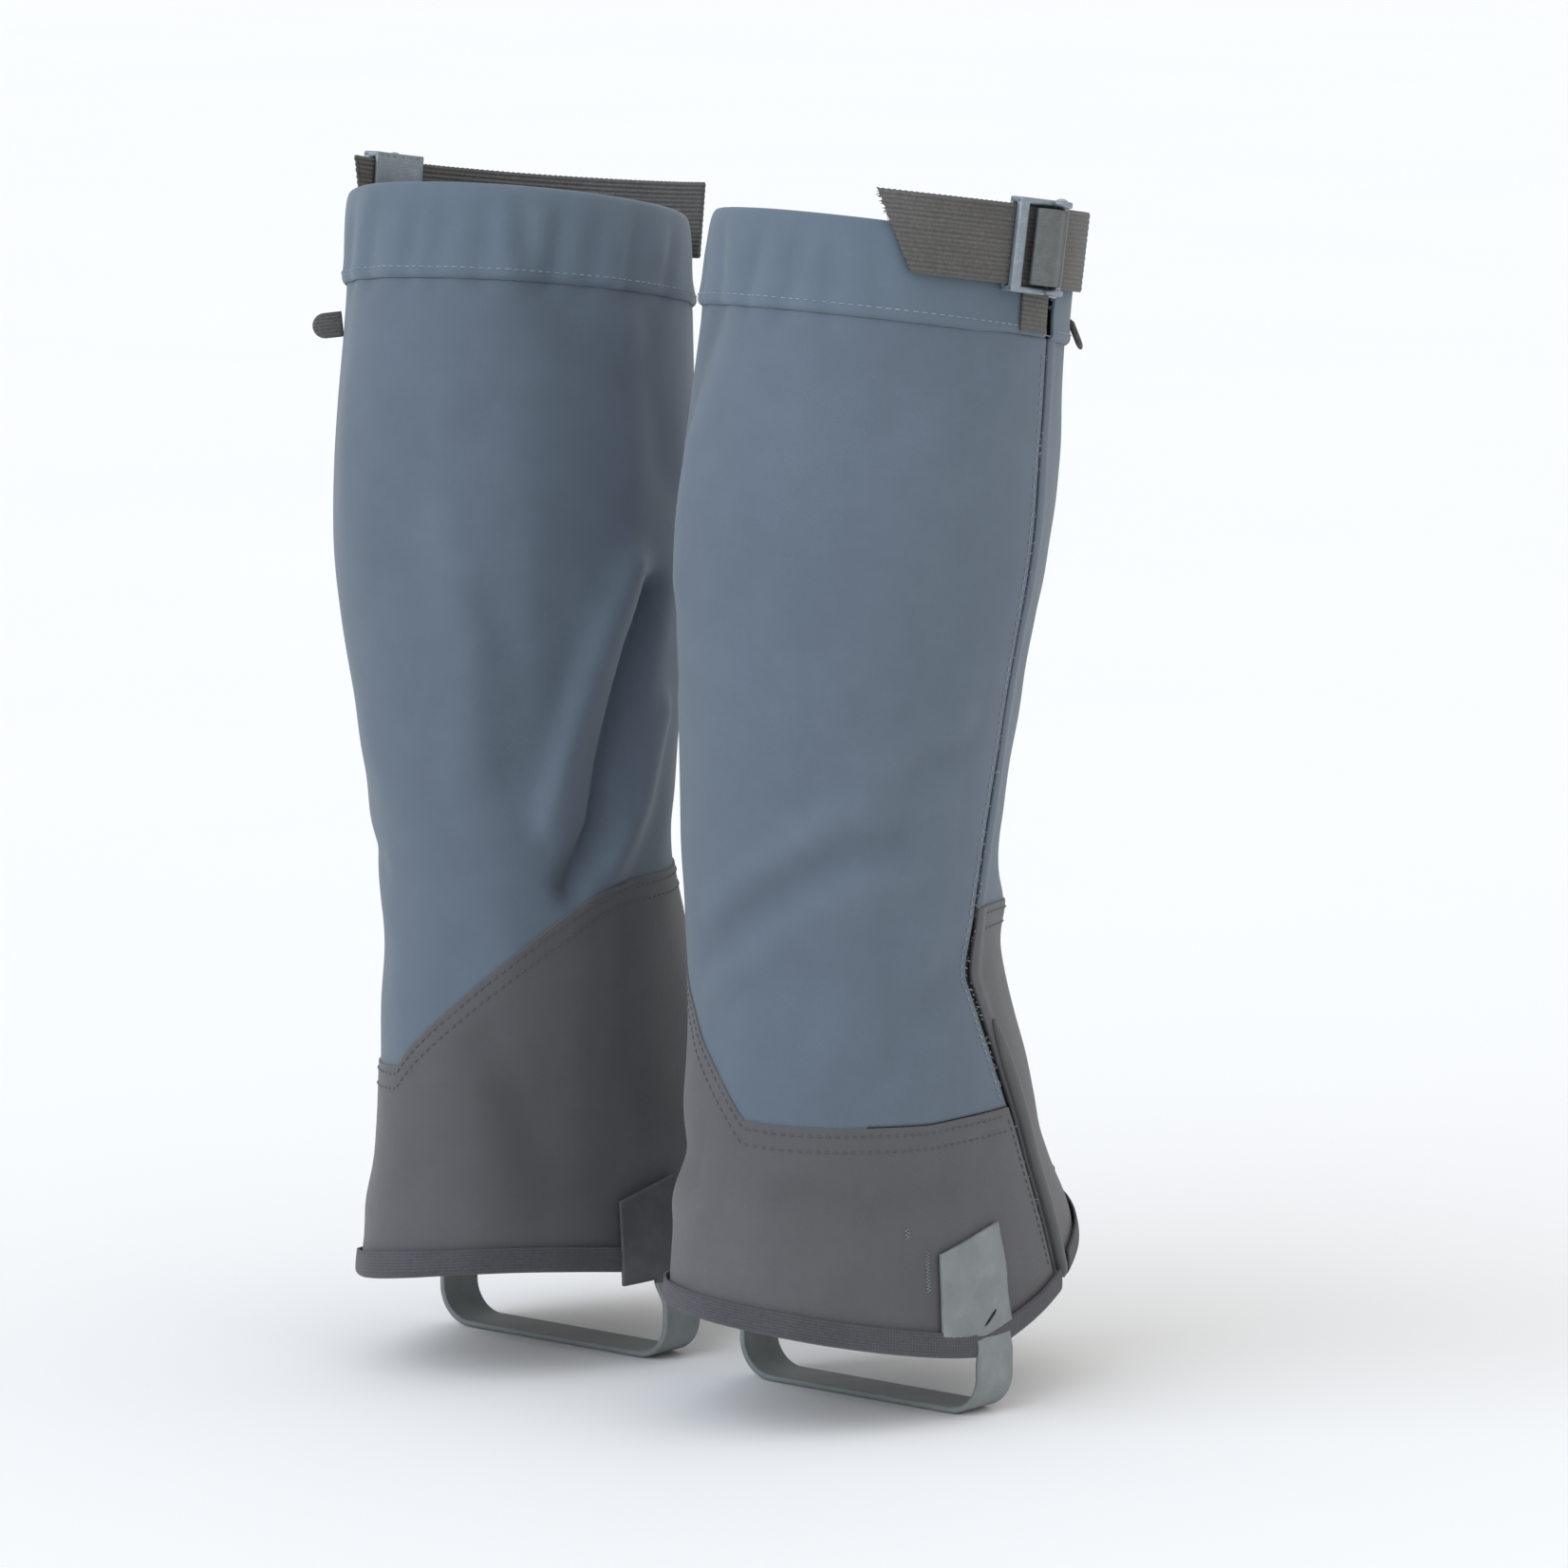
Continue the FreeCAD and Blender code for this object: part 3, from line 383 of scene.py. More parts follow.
def settled(move):
    """The moves of one side with the slack folds of a cloth simulation added."""
    a, h = np.meshgrid(np.arange(0.0, 360.0, SIM_TURN), np.arange(SIM_LOW, CUFF_SEAM + 3.0, SIM_RISE))
    rows, columns = a.shape
    index = np.arange(rows * columns).reshape(rows, columns)
    ahead = np.roll(index, -1, axis=1)
    quads = np.stack([index[:-1], ahead[:-1], ahead[1:], index[1:]], -1).reshape(-1, 4)
    start = leg_point(a, h, 0.0) + from_grid(move, a, h)
    inner = leg_point(a, h, -SIM_ROOM) + from_grid(move, a, h)
    tubes = []
    for name, points in (("sim_cloth", start), ("sim_leg", inner)):
        mesh = bpy.data.meshes.new(name)
        mesh.from_pydata((points.reshape(-1, 3) * MM).tolist(), [], quads.tolist())
        item = bpy.data.objects.new(name, mesh)
        bpy.context.scene.collection.objects.link(item)
        tubes.append(item)
    cloth, body = tubes
    body.modifiers.new("collision", "COLLISION")
    body.collision.thickness_outer = SIM_GAP
    held = cloth.vertex_groups.new(name="held")
    for i, weight in enumerate(sim_pins(a, h).ravel()):
        held.add([i], float(weight), "REPLACE")
    drape = cloth.modifiers.new("drape", "CLOTH")
    fabric = drape.settings
    fabric.vertex_group_mass = "held"
    fabric.quality, fabric.mass, fabric.air_damping = 6, 0.25, 2.0
    fabric.tension_stiffness, fabric.compression_stiffness = 40.0, 40.0
    fabric.shear_stiffness, fabric.bending_stiffness = 12.0, SIM_BEND
    fabric.shrink_min = -SIM_SLACK
    drape.collision_settings.distance_min = SIM_GAP
    drape.collision_settings.use_self_collision = False
    for step in range(1, SIM_FRAMES + 1):
        bpy.context.scene.frame_set(step)
    result = cloth.evaluated_get(bpy.context.evaluated_depsgraph_get()).data
    final = np.zeros(rows * columns * 3)
    result.vertices.foreach_get("co", final)
    bpy.context.scene.frame_set(1)
    for item in tubes:
        mesh = item.data
        bpy.data.objects.remove(item)
        bpy.data.meshes.remove(mesh)
    shift = final.reshape(start.shape) / MM - start
    normal = leg_point(a, h, 1.0) - leg_point(a, h, 0.0)
    swell = np.sum(shift * normal, axis=-1, keepdims=True)
    shift -= normal * swell.mean(axis=1, keepdims=True)
    for _ in range(SIM_SOFTEN):
        shift = 0.25 * np.roll(shift, 1, axis=1) + 0.5 * shift + 0.25 * np.roll(shift, -1, axis=1)
        shift[1:-1] = 0.25 * shift[:-2] + 0.5 * shift[1:-1] + 0.25 * shift[2:]
    shift *= (1.0 - np.clip(sim_pins(a, h) - 0.2, 0.0, 0.8) / 0.8)[..., None]
    shift *= SIM_LIMIT / np.sqrt(SIM_LIMIT ** 2 + np.sum(shift ** 2, axis=-1, keepdims=True))
    around = np.concatenate([shift, shift[:, :1]], axis=1)
    ga, gh = np.meshgrid(GRID_ANGLES, GRID_HEIGHTS)
    u = np.minimum(ga / SIM_TURN, columns - 0.001)
    v = np.clip((gh - SIM_LOW) / SIM_RISE, 0.0, rows - 1.001)
    i, j = u.astype(int), v.astype(int)
    fu, fv = (u - i)[..., None], (v - j)[..., None]
    add = (around[j, i] * (1 - fu) * (1 - fv) + around[j, i + 1] * fu * (1 - fv)
           + around[j + 1, i] * (1 - fu) * fv + around[j + 1, i + 1] * fu * fv)
    inside = ((gh >= SIM_LOW) & (gh <= CUFF_SEAM))[..., None]
    return move + add * inside


DRAPE = {side: settled(drape_grid(side)) for side in SIDES}


def mirror(side, points):
    """Right-hand millimetre points to this side's place, in metres."""
    points = np.array(points, float)
    if side == "left":
        points[..., 0] = SPACING - points[..., 0]
    return points * MM


def cloth_point(side, angle, height, outset=0.0):
    """A draped cloth point of one side, in metres."""
    moved = leg_point(angle, height, outset) + from_grid(DRAPE[side], angle, height)
    return mirror(side, moved)


# ------------------------------------------------------------------ materials

def linear(red, green, blue):
    """A display colour, 0 to 255, as linear light."""
    def one(c):
        c /= 255.0
        return c / 12.92 if c <= 0.04045 else ((c + 0.055) / 1.055) ** 2.4
    return (one(red), one(green), one(blue), 1.0)


class Nodes:
    """Short calls for building one material's node tree."""

    def __init__(self, name):
        self.material = bpy.data.materials.new(name)
        self.material.use_nodes = True
        self.tree = self.material.node_tree
        self.tree.nodes.clear()
        self.shader = self.add("ShaderNodeBsdfPrincipled")
        output = self.add("ShaderNodeOutputMaterial")
        self.link(self.shader.outputs["BSDF"], output.inputs["Surface"])

    def add(self, kind, **values):
        node = self.tree.nodes.new(kind)
        for key, value in values.items():
            if hasattr(node, key):
                setattr(node, key, value)
            else:
                node.inputs[key.replace("_", " ")].default_value = value
        return node

    def link(self, source, target):
        self.tree.links.new(source, target)

    def math(self, operation, first, second=None):
        node = self.add("ShaderNodeMath", operation=operation)
        for index, value in enumerate((first, second)):
            if value is None:
                continue
            if isinstance(value, (int, float)):
                node.inputs[index].default_value = value
            else:
                self.link(value, node.inputs[index])
        return node.outputs[0]

    def ramp(self, factor, stops):
        node = self.add("ShaderNodeValToRGB")
        elements = node.color_ramp.elements
        while len(elements) < len(stops):
            elements.new(0.5)
        for element, (position, colour) in zip(elements, stops):
            element.position = position
            element.color = colour
        self.link(factor, node.inputs["Fac"])
        return node.outputs["Color"]

    def noise(self, coordinates, scale, detail=3.0, roughness=0.55):
        node = self.add("ShaderNodeTexNoise", Scale=scale, Detail=detail, Roughness=roughness)
        self.link(coordinates, node.inputs["Vector"])
        return node.outputs["Fac"]

    def mix(self, factor, first, second, blend="MIX"):
        node = self.add("ShaderNodeMix", data_type="RGBA", blend_type=blend)
        for socket, value in (("Factor", factor), ("A", first), ("B", second)):
            inputs = [i for i in node.inputs if i.name == socket and i.enabled]
            if isinstance(value, (tuple, float, int)):
                inputs[0].default_value = value
            else:
                self.link(value, inputs[0])
        return [o for o in node.outputs if o.enabled][0]

    def surface(self, colour, roughness, height, strength, distance, **constants):
        self.link(colour, self.shader.inputs["Base Color"])
        self.link(roughness, self.shader.inputs["Roughness"])
        bump = self.add("ShaderNodeBump", Strength=strength, Distance=distance)
        self.link(height, bump.inputs["Height"])
        self.link(bump.outputs["Normal"], self.shader.inputs["Normal"])
        for name, value in constants.items():
            self.shader.inputs[name.replace("_", " ")].default_value = value
        return self.material


def scaled(colour, factor):
    return tuple(c * factor for c in colour[:3]) + (1.0,)


def weave_material(name, colour, dusty, pitch=0.62, rough=0.78, sheen=0.22, slub=0.5, strength=0.35):
    """Plain-woven cloth: crossing threads, slubs, fold ridges lighter as wear, fold grooves darker as painted
    shade, dusty lint.
    """
    n = Nodes(name)
    uv = n.add("ShaderNodeUVMap", uv_map="cloth").outputs["UV"]
    place = n.add("ShaderNodeTexCoord").outputs["Object"]
    split = n.add("ShaderNodeSeparateXYZ")
    n.link(uv, split.inputs[0])
    turns = TAU / (pitch * MM)
    across = n.math("SINE", n.math("MULTIPLY", split.outputs["X"], turns))
    along = n.math("SINE", n.math("MULTIPLY", split.outputs["Y"], turns))
    threads = n.math("MULTIPLY", across, along)
    slubs = n.noise(place, 420.0, 4.0, 0.7)
    height = n.math("ADD", n.math("MULTIPLY", threads, 0.5), n.math("MULTIPLY", slubs, slub * 2.0))
    fold_wear_shade = n.add("ShaderNodeAttribute", attribute_name="fold_wear_shade").outputs["Fac"]
    wide = n.noise(place, 9.0, 3.0, 0.5)
    mottle = n.noise(place, 65.0, 5.0, 0.62)
    tone = n.math("ADD", n.math("MULTIPLY", wide, 0.45), n.math("MULTIPLY", mottle, 0.35))
    # Fold ridges lighter as wear, fold grooves darker as painted shade.
    tone = n.math("ADD", tone, n.math("MULTIPLY", fold_wear_shade, 0.16))
    base = n.ramp(tone, ((0.18, scaled(colour, 0.84)), (0.42, colour), (0.66, dusty)))
    weft = n.ramp(n.math("ADD", n.math("MULTIPLY", threads, 0.5), 0.5),
                  ((0.0, (0.86, 0.86, 0.87, 1)), (1.0, (1.08, 1.08, 1.08, 1))))
    woven = n.mix(1.0, base, weft, "MULTIPLY")
    lint = n.ramp(n.noise(place, 900.0, 2.0, 0.6), ((0.70, (0, 0, 0, 1)), (0.80, (1, 1, 1, 1))))
    final = n.mix(n.math("MULTIPLY", lint, 0.22), woven, scaled(dusty, 1.7))
    roughness = n.math("ADD", n.math("MULTIPLY", mottle, 0.16), rough - 0.08)
    return n.surface(final, roughness, height, strength, 0.00022, Sheen_Weight=sheen,
                     Sheen_Roughness=0.45, Specular_IOR_Level=0.28)


def rib_material(name, colour, dusty, pitch=1.7, rough=0.8):
    """Webbing and tape: lengthwise cords crossed by fine weft."""
    n = Nodes(name)
    uv = n.add("ShaderNodeUVMap", uv_map="cloth").outputs["UV"]
    place = n.add("ShaderNodeTexCoord").outputs["Object"]
    split = n.add("ShaderNodeSeparateXYZ")
    n.link(uv, split.inputs[0])
    cords = n.math("SINE", n.math("MULTIPLY", split.outputs["Y"], TAU / (pitch * MM)))
    weft = n.math("SINE", n.math("MULTIPLY", split.outputs["X"], TAU / (0.9 * MM)))
    speckle = n.noise(place, 700.0, 4.0, 0.75)
    height = n.math("ADD", n.math("MULTIPLY", cords, 0.6), n.math("MULTIPLY", weft, 0.22))
    height = n.math("ADD", height, speckle)
    tone = n.math("ADD", n.math("MULTIPLY", speckle, 0.7), n.math("MULTIPLY", cords, 0.09))
    tone = n.math("ADD", tone, n.math("MULTIPLY", n.noise(place, 40.0), 0.25))
    base = n.ramp(tone, ((0.25, scaled(colour, 0.68)), (0.5, colour), (0.78, dusty)))
    roughness = n.math("ADD", n.math("MULTIPLY", speckle, 0.2), rough - 0.1)
    return n.surface(base, roughness, height, 0.55, 0.0004, Sheen_Weight=0.15, Specular_IOR_Level=0.25)


def pile_material(name, colour, dusty, scale=1500.0):
    """Hook or loop tape: a dense dark pile."""
    n = Nodes(name)
    place = n.add("ShaderNodeTexCoord").outputs["Object"]
    voronoi = n.add("ShaderNodeTexVoronoi", Scale=scale)
    n.link(place, voronoi.inputs["Vector"])
    cells = voronoi.outputs["Distance"]
    fuzz = n.noise(place, scale * 0.5, 5.0, 0.7)
    base = n.ramp(n.math("MULTIPLY", n.math("ADD", cells, fuzz), 0.6),
                  ((0.2, scaled(colour, 0.6)), (0.5, colour), (0.8, dusty)))
    roughness = n.math("ADD", n.math("MULTIPLY", fuzz, 0.1), 0.86)
    return n.surface(base, roughness, n.math("ADD", cells, fuzz), 0.8, 0.0006, Specular_IOR_Level=0.15)


def rubber_material(name, colour, dusty):
    """Coated rubber sheet: fine pebbling, scuffs and a little grime."""
    n = Nodes(name)
    place = n.add("ShaderNodeTexCoord").outputs["Object"]
    voronoi = n.add("ShaderNodeTexVoronoi", Scale=1300.0)
    n.link(place, voronoi.inputs["Vector"])
    scuffs = n.noise(place, 90.0, 6.0, 0.7)
    grime = n.noise(place, 22.0, 4.0, 0.6)
    tone = n.math("ADD", n.math("MULTIPLY", scuffs, 0.5), n.math("MULTIPLY", grime, 0.5))
    base = n.ramp(tone, ((0.34, scaled(colour, 0.82)), (0.52, colour), (0.7, dusty)))
    height = n.math("ADD", n.math("MULTIPLY", voronoi.outputs["Distance"], 0.5), scuffs)
    roughness = n.math("ADD", n.math("MULTIPLY", scuffs, 0.25), 0.48)
    return n.surface(base, roughness, height, 0.3, 0.0003, Specular_IOR_Level=0.35)


def metal_material(name, colour, dusty, metallic, rough, brushed=(1.0, 1.0, 14.0)):
    """Satin metal with brushing, soft tarnish and small nicks."""
    n = Nodes(name)
    place = n.add("ShaderNodeTexCoord").outputs["Object"]
    mapping = n.add("ShaderNodeMapping", Scale=brushed)
    n.link(place, mapping.inputs["Vector"])
    lines = n.noise(mapping.outputs["Vector"], 260.0, 4.0, 0.6)
    nicks = n.noise(place, 240.0, 6.0, 0.75)
    tone = n.math("ADD", n.math("MULTIPLY", lines, 0.5), n.math("MULTIPLY", nicks, 0.5))
    base = n.ramp(tone, ((0.32, scaled(colour, 0.78)), (0.52, colour), (0.72, dusty)))
    roughness = n.math("ADD", n.math("MULTIPLY", tone, 0.3), rough - 0.12)
    return n.surface(base, roughness, tone, 0.18, 0.0002, Metallic=metallic)


def thread_material(name, colour, dusty):
    """Sewing thread or loose fibre, with its twist."""
    n = Nodes(name)
    place = n.add("ShaderNodeTexCoord").outputs["Object"]
    wave = n.add("ShaderNodeTexWave", Scale=900.0, Distortion=2.0)
    n.link(place, wave.inputs["Vector"])
    fade = n.noise(place, 60.0, 2.0)
    tone = n.math("ADD", n.math("MULTIPLY", wave.outputs["Fac"], 0.4), n.math("MULTIPLY", fade, 0.6))
    base = n.ramp(tone, ((0.25, scaled(colour, 0.8)), (0.75, dusty)))
    roughness = n.math("ADD", n.math("MULTIPLY", fade, 0.15), 0.6)
    return n.surface(base, roughness, wave.outputs["Fac"], 0.3, 0.0001, Sheen_Weight=0.1)


MATERIALS = {
    "upper": weave_material("upper_weave", linear(97, 109, 122), linear(106, 118, 131)),
    "cuff": weave_material("cuff_weave", linear(99, 113, 126), linear(108, 122, 135)),
    "guard": weave_material("guard_weave", linear(92, 92, 95), linear(103, 103, 106), pitch=0.9,
                            slub=0.8, strength=0.45),
    "front_guard": weave_material("front_weave", linear(88, 91, 90), linear(100, 103, 102), pitch=0.9,
                                  slub=0.6),
    "lining": weave_material("lining_weave", linear(72, 75, 78), linear(84, 87, 90), pitch=0.8),
    "elastic": rib_material("elastic_knit", linear(52, 54, 56), linear(66, 68, 70), pitch=1.2),
    "binding": rib_material("binding_tape", linear(80, 80, 85), linear(92, 92, 97), pitch=1.1),
    "webbing": rib_material("ribbed_webbing", linear(92, 90, 88), linear(118, 116, 113)),
    "loops": pile_material("loop_pile", linear(44, 48, 50), linear(66, 71, 73)),
    "hooks": pile_material("hook_pile", linear(34, 36, 37), linear(54, 57, 58), 900.0),
    "rubber": rubber_material("patch_rubber", linear(130, 136, 136), linear(146, 151, 151)),
    # A darker copy of the patch rubber: painted shade on the inner patch.
    "shaded_rubber": rubber_material("painted_shade_patch_rubber", linear(82, 84, 87), linear(96, 98, 101)),
    "frame": metal_material("buckle_frame_metal", linear(140, 150, 158), linear(170, 180, 188), 0.55, 0.42),
    "lever": metal_material("cam_lever_metal", linear(98, 102, 101), linear(120, 124, 123), 0.35, 0.45),
    "pin": metal_material("pin_steel_metal", linear(170, 174, 178), linear(206, 210, 214), 0.9, 0.35),
    "hook": metal_material("hook_wire_metal", linear(84, 86, 88), linear(112, 114, 116), 0.8, 0.4),
    "thread": thread_material("light_thread", linear(128, 138, 148), linear(160, 168, 176)),
    "dark_thread": thread_material("dark_thread", linear(70, 72, 76), linear(96, 98, 102)),
    "fuzz": thread_material("pale_fuzz", linear(150, 158, 162), linear(196, 202, 204)),
}


# ------------------------------------------------------------- mesh building

def make_object(name, vertices, faces, materials, uv=None, fold_wear_shade=None, sharp=(), pick=None):
    """A mesh object from points in metres, smooth but for its sharp edges."""
    mesh = bpy.data.meshes.new(name)
    mesh.from_pydata([tuple(v) for v in vertices], [], [tuple(f) for f in faces])
    mesh.polygons.foreach_set("use_smooth", [True] * len(mesh.polygons))
    for material in materials:
        mesh.materials.append(material)
    if pick is not None:
        mesh.polygons.foreach_set("material_index", pick)
    if uv is not None:
        layer = mesh.uv_layers.new(name="cloth")
        loops = np.zeros(len(mesh.loops), int)
        mesh.loops.foreach_get("vertex_index", loops)
        layer.data.foreach_set("uv", np.asarray(uv, float)[loops].ravel())
    if fold_wear_shade is not None:
        attribute = mesh.attributes.new("fold_wear_shade", "FLOAT", "POINT")
        attribute.data.foreach_set("value", np.asarray(fold_wear_shade, np.float32))
    if len(sharp):
        marks = {tuple(sorted(e)) for e in sharp}
        attribute = mesh.attributes.new("sharp_edge", "BOOLEAN", "EDGE")
        for edge in mesh.edges:
            attribute.data[edge.index].value = tuple(sorted(edge.vertices)) in marks
    mesh.validate()
    mesh.update()
    item = bpy.data.objects.new(name, mesh)
    bpy.context.scene.collection.objects.link(item)
    return item


def spaced(count, soft=0.004):
    """Parameters from 0 to 1 with a narrow first and last step."""
    inner = np.linspace(soft, 1.0 - soft, count)
    return np.concatenate([[0.0], inner, [1.0]])


def patch_grid(borders, across, up):
    """Angles and heights over a patch between two side and two level lines."""
    first, second, bottom, top = borders
    s, t = np.meshgrid(across, up, indexing="ij")
    height = np.full(s.shape, 200.0)
    for _ in range(14):
        angle = first(height) * (1 - s) + second(height) * s
        height = bottom(angle) * (1 - t) + top(angle) * t
    return angle, height


def sheet_mesh(name, side, angle, height, outer, inner, materials, flush=(), lining=None):
    """Thick cloth between two outsets over an (angle, height) grid.

    flush names the borders (first, last, bottom, top) that keep a sharp rim,
    so that they meet a neighbour without a line."""
    rows, columns = angle.shape
    outside = cloth_point(side, angle, height, outer).reshape(-1, 3)
    inside = cloth_point(side, angle, height, inner).reshape(-1, 3)
    count = rows * columns
    index = np.arange(count).reshape(rows, columns)
    a, b = index[:-1, :-1].ravel(), index[1:, :-1].ravel()
    c, d = index[1:, 1:].ravel(), index[:-1, 1:].ravel()
    quads = np.stack([a, b, c, d], -1)
    ring = {
        "first": index[0, ::-1], "last": index[-1, :],
        "bottom": index[:, 0], "top": index[::-1, -1],
    }
    faces = [quads, quads[:, ::-1] + count]
    rims = []
    for line in ring.values():
        rims.append(np.stack([line[:-1], line[:-1] + count, line[1:] + count, line[1:]], -1))
    faces = np.concatenate(faces + rims)
    if side == "right":
        faces = faces[:, ::-1]
    sharp = []
    for edge in flush:
        line = ring[edge]
        sharp += list(zip(line[:-1], line[1:])) + list(zip(line[:-1] + count, line[1:] + count))
    arc = np.radians(angle) * 64.0 * MM
    uv = np.stack([arc, height * MM], -1).reshape(-1, 2)
    fold_wear_shade = from_grid(FOLD_WEAR_SHADE[side], angle, height).ravel()
    pick = None
    if lining is not None:
        pick = np.zeros(len(faces), int)
        pick[len(quads):2 * len(quads)] = lining
    return make_object(name, np.concatenate([outside, inside]), faces, materials,
                       np.concatenate([uv, uv]), np.concatenate([fold_wear_shade, fold_wear_shade]), sharp, pick)


def tube_mesh(name, lines, radius, material, sides=8, closed_ends=True):
    """Round tubes of one radius (metres) along lists of points."""
    vertices, faces = [], []
    for line in lines:
        line = np.asarray(line, float)
        steps = np.gradient(line, axis=0)
        steps /= np.linalg.norm(steps, axis=1, keepdims=True)
        guide = np.array([0.31, 0.23, 0.92])
        across = np.cross(steps, guide)
        across /= np.linalg.norm(across, axis=1, keepdims=True)
        over = np.cross(steps, across)
        base = len(vertices)
        turns = np.arange(sides) * TAU / sides
        radii = np.full(len(line), radius)
        radii[0] = radii[-1] = 0.45 * radius
        for point, u, v, r in zip(line, across, over, radii):
            vertices.extend(point + r * (math.cos(t) * u + math.sin(t) * v) for t in turns)
        for i in range(len(line) - 1):
            for k in range(sides):
                j = (k + 1) % sides
                faces.append((base + i * sides + k, base + i * sides + j,
                              base + (i + 1) * sides + j, base + (i + 1) * sides + k))
        if closed_ends:
            faces.append(tuple(base + k for k in reversed(range(sides))))
            last = base + (len(line) - 1) * sides
            faces.append(tuple(last + k for k in range(sides)))
    return make_object(name, vertices, faces, [material])


def ride(piece, body, slot, *nodes):
    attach(piece, body)
    if nodes:
        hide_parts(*nodes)
    return piece


def bend(piece, side, flap, slot, *nodes):
    """Bake a flap piece's transform into its mesh and hide its CAD parts; the span across its fold is worked
    out but not used.
    """
    start, end = fold_span(side, flap)
    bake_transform(piece)
    if nodes:
        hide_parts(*nodes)
    return piece


def fold_span(side, flap):
    """Points just behind and just ahead of a fold, square to its line."""
    line = upper_fold_line if flap == "upper_flap" else lower_fold_line
    low, high = (130.0, 402.0) if flap == "upper_flap" else (42.0, 105.0)
    ends = [mirror(side, leg_point(line(0.0)(h), h, 3.0)) for h in (low, high)]
    middle_height = 0.5 * (low + high)
    middle = 0.5 * (ends[0] + ends[1])
    along = (ends[1] - ends[0]) / np.linalg.norm(ends[1] - ends[0])
    ahead = mirror(side, leg_point(line(6.0)(middle_height), middle_height, 3.0)) - mirror(
        side, leg_point(line(-6.0)(middle_height), middle_height, 3.0))
    ahead -= along * (ahead @ along)
    ahead /= np.linalg.norm(ahead)
    return tuple(middle - ahead * 0.005), tuple(middle + ahead * 0.007)


def lower_fold_line(shift):
    return closure_line(shift - LOWER_FLAP_WIDTH)


# --------------------------------------------------------------- cloth pieces

def fold_step(angle, height, line):
    """0 behind a fold and 1 ahead of it, changing smoothly across it."""
    ahead = (angle - line(0.0)(height)) * GIRTH_PER_DEGREE
    share = np.clip((ahead + FOLD_REACH) / (2.0 * FOLD_REACH), 0.0, 1.0)
    return share * share * (3 - 2 * share)


def panel_lift(angle, height):
    """Outset that carries the panels from the shell out over their tapes."""
    above = fold_step(angle, np.maximum(height, GUARD_SIDE), upper_fold_line)
    below = fold_step(angle, np.minimum(height, GUARD_SIDE), lower_fold_line)
    fade = np.clip((height - GUARD_SIDE + 32.0) / 26.0, 0.0, 1.0)
    return FLAP_LIFT * np.maximum(above * fade, below)


def front_swell(angle, height):
    """The front edge of the panel is turned back, so it stands thicker."""
    from_edge = (angle - closure_line(CLOSURE_GAP, 1)(height)) * GIRTH_PER_DEGREE
    return 1.0 * np.exp(-((from_edge - 3.0) / 3.0) ** 2)


def make_upper(side):
    columns, rows = 170, 110
    behind = upper_fold_line(-FOLD_REACH)
    borders = (behind, closure_line(CLOSURE_GAP, 1), guard_line(-4.0), level(CUFF_SEAM))
    angle, height = patch_grid(borders, spaced(columns, 0.001), spaced(rows))
    swell = front_swell(angle, height) + panel_lift(angle, height)
    shell = sheet_mesh(side + "_upper_cloth", side, angle, height, swell, swell - CLOTH,
                       [MATERIALS["upper"], MATERIALS["lining"]], ("first",), 1)
    ride(shell, side + "_gaiter", "upper_cloth", side + "_upper_shell")

    borders = (behind, closure_line(0.0), guard_line(0.5), level(CUFF_SEAM))
    angle, height = patch_grid(borders, spaced(26, 0.006), spaced(rows))
    lift = panel_lift(angle, height)
    flap = sheet_mesh(side + "_upper_flap_cloth", side, angle, height, lift, lift - CLOTH,
                      [MATERIALS["upper"], MATERIALS["lining"]], ("first",), 1)
    bend(flap, side, "upper_flap", "upper_cloth", side + "_upper_flap")


def make_guard(side):
    behind = lower_fold_line(-FOLD_REACH)
    borders = (behind, closure_line(CLOSURE_GAP, 1), hem_line(), guard_line(0.0))
    angle, height = patch_grid(borders, spaced(190, 0.001), spaced(64, 0.006))
    swell = front_swell(angle, height) + panel_lift(angle, height) + GUARD_LIFT
    shell = sheet_mesh(side + "_guard_cloth", side, angle, height, swell, swell - CLOTH,
                       [MATERIALS["guard"], MATERIALS["lining"]], ("first",), 1)
    ride(shell, side + "_gaiter", "guard_cloth", side + "_lower_guard")

    borders = (behind, closure_line(0.0), hem_line(), guard_line(0.0))
    angle, height = patch_grid(borders, spaced(22, 0.008), spaced(46, 0.006))
    lift = panel_lift(angle, height) + GUARD_LIFT
    flap = sheet_mesh(side + "_lower_flap_cloth", side, angle, height, lift, lift - CLOTH,
                      [MATERIALS["guard"], MATERIALS["lining"]], ("first",), 1)
    bend(flap, side, "lower_flap", "guard_cloth", side + "_lower_flap")


def make_roll(side):
    """The guard's front edge, rolled back into a soft tube."""
    rows, around = 60, 18
    heights = np.linspace(float(hem_line(1.0)(120.0)) + 2.0, 150.0, rows)
    vertices = []
    middle = closure_line(CLOSURE_GAP + 4.2)
    for i, h in enumerate(heights):
        share = i / (rows - 1.0)
        angle = float(middle(h))
        centre = cloth_point(side, angle, h, 2.3)
        out = cloth_point(side, angle, h, 6.0) - centre
        out /= np.linalg.norm(out)
        up = cloth_point(side, float(middle(h + 4.0)), h + 4.0, 2.3) - centre
        up /= np.linalg.norm(up)
        ahead = np.cross(up, out)
        end = min(1.0, share / 0.05, (1.0 - share) / 0.25)
        full = math.sqrt(max(0.06, end * (2.0 - end)))
        for k in range(around):
            turn = TAU * k / around
            wide, deep = 3.6 * full * MM, 2.4 * full * MM
            vertices.append(centre + ahead * wide * math.cos(turn) + out * deep * math.sin(turn))
    uv = [(n % around * 1.1 * MM, n // around * 1.6 * MM) for n in range(len(vertices))]
    roll = make_object(side + "_front_edge_roll", vertices, loft_faces(rows, around, side == "left"),
                       [MATERIALS["front_guard"]], uv, [0.2] * len(vertices))
    ride(roll, side + "_gaiter", "guard_cloth", side + "_front_roll")


